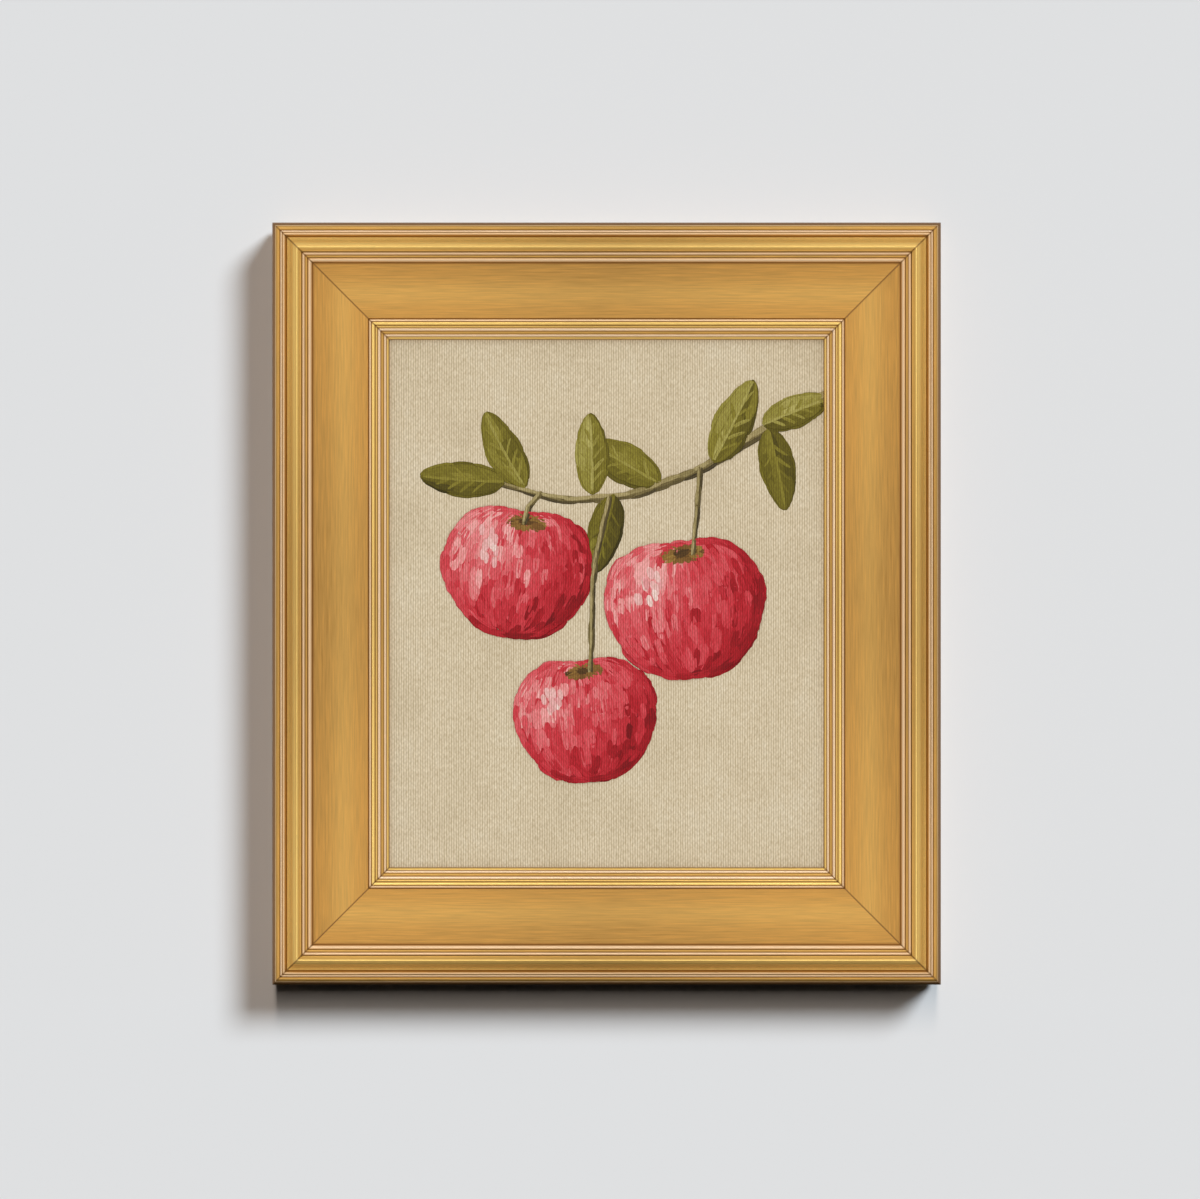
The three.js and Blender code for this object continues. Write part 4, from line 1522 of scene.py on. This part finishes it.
branch_daubs, apple_daubs, leaf_daubs = [], [], []
brush_along(branch_daubs, BRANCH, 7.5, 0.6, BARK, 0.15)
for leaf in LEAVES[::2]:
    brush_leaf(branch_daubs, *leaf, 0.1)
for apple in APPLES:
    brush_apple(apple_daubs, *apple)
for twig in TWIGS:
    brush_along(leaf_daubs, twig, 3.4, 0.2, BARK, 0.2)
for leaf in LEAVES[1::2]:
    brush_leaf(leaf_daubs, *leaf, 0.14)

section = outline_object("daub_section", DAUB_SECTION)
daubs = daubs_tree()
paint = oil_paint()
layers = {"branch_paint": branch_daubs, "apple_paint": apple_daubs, "leaf_paint": leaf_daubs}
for name, layer in layers.items():
    made = baked(paint_object(name, layer), daubs, {"Section": section, "Paint": paint})
    finish_piece(made, "painted_canvas")
bpy.data.objects.remove(section)

# ------------------------------------------------------------------------------------ staples
# Flat-wire steel staples, 10.5 mm across, shot through the turned-over cloth into the bars.
STAPLE_CROWN = 10.5 * MM
STAPLE_LEG = 6 * MM
STAPLE_WIRE = (1.2 * MM, 0.6 * MM)
STAPLE_BEND = 0.9 * MM
STAPLE_TILT = 4  # degrees that a hand-held gun strays
STAPLE_COUNTS = {"top": 4, "right": 5, "bottom": 4, "left": 5}


def staples_tree():
    """One bent wire, set at each point and turned as the point's attribute says."""
    tree, given = new_tree(
        "Staples",
        {
            "Crown": "Float",
            "Leg": "Float",
            "Wide": "Float",
            "Thick": "Float",
            "Bend": "Float",
            "Steel": "Material",
        },
    )
    half = sums(tree, "MULTIPLY", sums(tree, "SUBTRACT", given["Crown"], given["Thick"]), 0.5)
    corners = []
    for end, deep in ((-1, 1), (-1, 0), (1, 0), (1, 1)):
        corners.append(
            node(
                tree,
                "ShaderNodeCombineXYZ",
                {
                    "X": sums(tree, "MULTIPLY", half, end),
                    "Y": sums(tree, "MULTIPLY", given["Leg"], -deep),
                },
            ).outputs[0]
        )
    legs = [
        node(tree, "GeometryNodeCurvePrimitiveLine", {"Start": a, "End": b}).outputs[0]
        for a, b in zip(corners, corners[1:])
    ]
    joined = node(tree, "GeometryNodeJoinGeometry")
    for leg in reversed(legs):
        tree.links.new(leg, joined.inputs[0])
    path = node(tree, "GeometryNodeCurveToMesh", {"Curve": joined.outputs[0]})
    welded = node(tree, "GeometryNodeMergeByDistance", {"Geometry": path.outputs[0]})
    wire = node(tree, "GeometryNodeMeshToCurve", {"Mesh": welded.outputs[0]})
    bent = node(
        tree,
        "GeometryNodeFilletCurve",
        {"Curve": wire.outputs[0], "Radius": given["Bend"], "Count": 4},
        mode="POLY",
    )
    upright = node(tree, "GeometryNodeSetCurveNormal", {"Curve": bent.outputs[0]}, mode="Z_UP")
    section = node(
        tree,
        "GeometryNodeCurvePrimitiveQuadrilateral",
        {"Width": given["Thick"], "Height": given["Wide"]},
    )
    softened_section = node(
        tree,
        "GeometryNodeFilletCurve",
        {
            "Curve": section.outputs[0],
            "Radius": sums(tree, "MULTIPLY", given["Thick"], 0.25),
            "Count": 2,
        },
        mode="POLY",
    )
    staple = node(
        tree,
        "GeometryNodeCurveToMesh",
        {
            "Curve": upright.outputs[0],
            "Profile Curve": softened_section.outputs[0],
            "Fill Caps": True,
        },
    )
    turned = node(
        tree, "FunctionNodeEulerToRotation", {0: named(tree, "turn", "FLOAT_VECTOR")}
    )
    placed = node(
        tree,
        "GeometryNodeInstanceOnPoints",
        {
            "Points": given["Geometry"],
            "Instance": staple.outputs[0],
            "Rotation": turned.outputs[0],
        },
    )
    real = node(tree, "GeometryNodeRealizeInstances", {0: placed.outputs[0]})
    smooth = node(tree, "GeometryNodeSetShadeSmooth", {"Geometry": real.outputs[0]})
    steel = node(
        tree,
        "GeometryNodeSetMaterial",
        {"Geometry": smooth.outputs[0], "Material": given["Steel"]},
    )
    node(tree, "NodeGroupOutput", {0: steel.outputs[0]})
    return tree


def place_points(name, places, turns):
    """A mesh of loose points, each with the turn of what is set there."""
    mesh = bpy.data.meshes.new(name)
    mesh.from_pydata([tuple(p) for p in places], [], [])
    layer = mesh.attributes.new("turn", "FLOAT_VECTOR", "POINT")
    layer.data.foreach_set("vector", np.array(turns, np.float32).ravel())
    made = bpy.data.objects.new(name, mesh)
    bpy.context.scene.collection.objects.link(made)
    return made


staple_nodes, staple_places, staple_turns = [], [], []
gun = np.random.default_rng(5)
for side, count in STAPLE_COUNTS.items():
    for i in range(1, count + 1):
        staple_nodes.append(f"staple_{side}_{i}")
        low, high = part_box(staple_nodes[-1])
        middle = (low + high) / 2
        staple_places.append((middle.x, high.y - STAPLE_WIRE[1] / 2, middle.z))
        upright = math.pi / 2 if side in ("right", "left") else 0
        staple_turns.append((0, upright + math.radians(gun.normal(0, STAPLE_TILT)), 0))
staples = baked(
    place_points("staples", staple_places, staple_turns),
    staples_tree(),
    {
        "Crown": STAPLE_CROWN,
        "Leg": STAPLE_LEG,
        "Wide": STAPLE_WIRE[0],
        "Thick": STAPLE_WIRE[1],
        "Bend": STAPLE_BEND,
        "Steel": zinc,
    },
)
finish_piece(staples, "zinc_plated_steel", *staple_nodes)

# ------------------------------------------------------------------------------------ offset clips
# Z-shaped strips of zinc-plated steel that hold the canvas in the rabbet. Each is punched out with
# rounded ends, bent twice, and screwed to a side rail so that it bears on the cloth's turnover.
CLIP_PLATE = 1.2 * MM
CLIP_CORNER = 4 * MM
CLIP_ARRIS = 0.2 * MM
CLIP_PLACES = [f"{side}_{i}" for side in ("right", "left") for i in (1, 2)]
clip_nodes = [f"clip_{place}" for place in CLIP_PLACES]
clips = softened(
    "offset_clips", clip_nodes, CLIP_ARRIS, zinc, round_ends=(CLIP_PLATE, CLIP_CORNER)
)
finish_piece(clips, "zinc_plated_steel", *clip_nodes)

# ------------------------------------------------------------------------------------ clip screws
# Pan-head wood screws with a pressed cross recess, zinc plated, one to a clip. Each was stopped at
# its own angle.
SCREW_DOME = [(0, 0), (0.9, 0.03), (1.8, 0.16), (2.6, 0.46), (3.1, 0.95)]
SCREW_RIM = [(3.3, 1.45), (3.2, 1.9), (2.9, 2.1)]
SCREW_SHANK = [(1.5, 2.1), (1.5, 10), (0, 14)]
# The cross recess: depth from the plane of the head, reach and half width of its arms, in
# millimetres, at its mouth and at its tip.
RECESS_ENDS = ((0.4, 1.9, 0.42), (-1.25, 0.63, 0.21))
TURNED_SIDES = 32


def turned(name, profile, sides):
    """A turned piece: radius and depth pairs in millimetres, the depth running from 0 to the front."""
    points, rings = [], []
    for radius, depth in profile:
        if radius == 0:
            rings.append([len(points)] * sides)
            points.append((0, -depth * MM, 0))
            continue
        rings.append(list(range(len(points), len(points) + sides)))
        for i in range(sides):
            angle = 2 * math.pi * i / sides
            x, z = radius * math.cos(angle), radius * math.sin(angle)
            points.append((x * MM, -depth * MM, z * MM))
    faces = []
    for here, there in zip(rings, rings[1:]):
        for i in range(sides):
            j = (i + 1) % sides
            ring = [here[i], here[j], there[j], there[i]]
            faces.append([v for n, v in enumerate(ring) if v not in ring[:n]])
    made = mesh_object(name, points, faces, zinc)
    shape = bmesh.new()
    shape.from_mesh(made.data)
    bmesh.ops.recalc_face_normals(shape, faces=shape.faces)
    shape.to_mesh(made.data)
    shape.free()
    return made


def recess_tool():
    """A cross with its four arms narrowing to a point, as a driver's tip."""
    shape = bmesh.new()
    for turn in (0, math.pi / 2):
        ends = []
        for y, reach, arm in RECESS_ENDS:
            ring = []
            for x, z in ((-reach, -arm), (reach, -arm), (reach, arm), (-reach, arm)):
                c, s = math.cos(turn), math.sin(turn)
                ring.append(shape.verts.new(Vector((x * c - z * s, y, x * s + z * c)) * MM))
            ends.append(ring)
        top, tip = ends
        shape.faces.new(top)
        shape.faces.new(tip[::-1])
        for i in range(4):
            shape.faces.new((top[i], tip[i], tip[(i + 1) % 4], top[(i + 1) % 4]))
    bmesh.ops.recalc_face_normals(shape, faces=shape.faces)
    mesh = bpy.data.meshes.new("recess")
    shape.to_mesh(mesh)
    shape.free()
    made = bpy.data.objects.new("recess", mesh)
    bpy.context.scene.collection.objects.link(made)
    return made


def plain_mesh(made):
    """The object with its modifiers run and taken off."""
    bpy.context.view_layer.update()
    depsgraph = bpy.context.evaluated_depsgraph_get()
    mesh = bpy.data.meshes.new_from_object(
        made.evaluated_get(depsgraph), preserve_all_data_layers=True, depsgraph=depsgraph
    )
    made.modifiers.clear()
    made.data = mesh
    return made


def set_out_tree():
    """The pattern piece, set at each point and turned as the point's attribute says."""
    tree, given = new_tree("Set out", {"Pattern": "Object", "Finish": "Material"})
    pattern = node(tree, "GeometryNodeObjectInfo", {"Object": given["Pattern"]})
    turned_by = node(
        tree, "FunctionNodeEulerToRotation", {0: named(tree, "turn", "FLOAT_VECTOR")}
    )
    placed = node(
        tree,
        "GeometryNodeInstanceOnPoints",
        {
            "Points": given["Geometry"],
            "Instance": pattern.outputs["Geometry"],
            "Rotation": turned_by.outputs[0],
        },
    )
    real = node(tree, "GeometryNodeRealizeInstances", {0: placed.outputs[0]})
    finished = node(
        tree,
        "GeometryNodeSetMaterial",
        {"Geometry": real.outputs[0], "Material": given["Finish"]},
    )
    node(tree, "NodeGroupOutput", {0: finished.outputs[0]})
    return tree


set_out = set_out_tree()
screw = turned("screw_pattern", SCREW_DOME + SCREW_RIM + SCREW_SHANK, TURNED_SIDES)
recess = recess_tool()
cut = screw.modifiers.new("Recess", "BOOLEAN")
cut.object = recess
cut.operation = "DIFFERENCE"
cut.use_self = True
plain_mesh(screw)
screw.data.shade_smooth()
screw.data.set_sharp_from_angle(angle=math.radians(40))
bpy.data.objects.remove(recess)
screw_nodes = [f"clip_screw_{place}" for place in CLIP_PLACES]
screw_places, screw_turns = [], []
driver = np.random.default_rng(3)
for title in screw_nodes:
    low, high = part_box(title)
    screw_places.append(((low.x + high.x) / 2, high.y, (low.z + high.z) / 2))
    screw_turns.append((0, driver.uniform(0, math.pi), 0))
screws = baked(
    place_points("clip_screws", screw_places, screw_turns), set_out, {"Pattern": screw, "Finish": zinc}
)
bpy.data.objects.remove(screw)
finish_piece(screws, "zinc_plated_steel", *screw_nodes)

# ------------------------------------------------------------------------------------ hanger
# A sawtooth strip of thin brass-plated steel. Its ends lie on the top rail under two small round-head
# nails, and its raised middle takes the wall's nail in any of seven notches.
HANGER_ARRIS = 0.12 * MM
NAIL_HEAD = [(0, 0), (0.6, 0.05), (1.15, 0.2), (1.55, 0.45), (1.7, 0.7), (1.5, 0.8)]
NAIL_SHANK = [(0.7, 0.8), (0.7, 12), (0, 14)]
brass = plated("Brass plate, thin", "#d3ac5c", 0.26, 0.5)
hanger = softened("hanger", ["sawtooth_hanger"], HANGER_ARRIS, brass)
finish_piece(hanger, "brass_plated_steel", "sawtooth_hanger")

nail = turned("nail_pattern", NAIL_HEAD + NAIL_SHANK, TURNED_SIDES)
nail.data.shade_smooth()
nail_nodes = ["hanger_nail_left", "hanger_nail_right"]
nail_places = []
for title in nail_nodes:
    low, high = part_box(title)
    nail_places.append(((low.x + high.x) / 2, high.y, (low.z + high.z) / 2))
nails = baked(
    place_points("hanger_nails", nail_places, [(0, 0, 0)] * 2), set_out, {"Pattern": nail, "Finish": brass}
)
bpy.data.objects.remove(nail)
finish_piece(nails, "brass_plated_steel", *nail_nodes)

# ------------------------------------------------------------------------------------ bumpers
# Moulded rubber pads with a rounded rim, stuck on at the lower corners, so that the picture hangs
# parallel to the wall and doesn't mark it.
BUMPER_FACE = [(0, 0.15), (2.4, 0.12), (2.9, 0), (3.3, 0.08), (3.7, 0.4), (4.2, 1.1), (4.8, 2), (5.2, 3)]
BUMPER_SIDE = [(5.45, 4.2), (5.5, 5.2), (5.4, 5.6), (5.2, 5.7), (0, 5.7)]


def rubber():
    """Moulded rubber: almost black and matt, with a faint bloom on it."""
    material, tree = new_material("Rubber, moulded")
    place = node(tree, "ShaderNodeTexCoord").outputs["Object"]
    bloom = node(tree, "ShaderNodeTexNoise", {"Vector": place, "Scale": 700.0, "Detail": 3.0})
    tint = node(
        tree,
        "ShaderNodeMix",
        {0: bloom.outputs[0], 6: srgb("#1f1e1d"), 7: srgb("#3a3937")},
        data_type="RGBA",
    )
    grit = node(tree, "ShaderNodeBump", {"Height": bloom.outputs[0], "Distance": 0.03 * MM})
    shader = node(
        tree,
        "ShaderNodeBsdfPrincipled",
        {"Base Color": tint.outputs[2], "Roughness": 0.7, "Normal": grit.outputs[0]},
    )
    node(tree, "ShaderNodeOutputMaterial", {"Surface": shader.outputs[0]})
    return material


pad = turned("bumper_pattern", BUMPER_FACE + BUMPER_SIDE, TURNED_SIDES)
pad.data.shade_smooth()
pad_nodes = ["bumper_left", "bumper_right"]
pad_places = []
for title in pad_nodes:
    low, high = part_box(title)
    pad_places.append(((low.x + high.x) / 2, high.y, (low.z + high.z) / 2))
pads = baked(
    place_points("bumpers", pad_places, [(0, 0, 0)] * 2), set_out, {"Pattern": pad, "Finish": rubber()}
)
bpy.data.objects.remove(pad)
finish_piece(pads, "rubber", *pad_nodes)
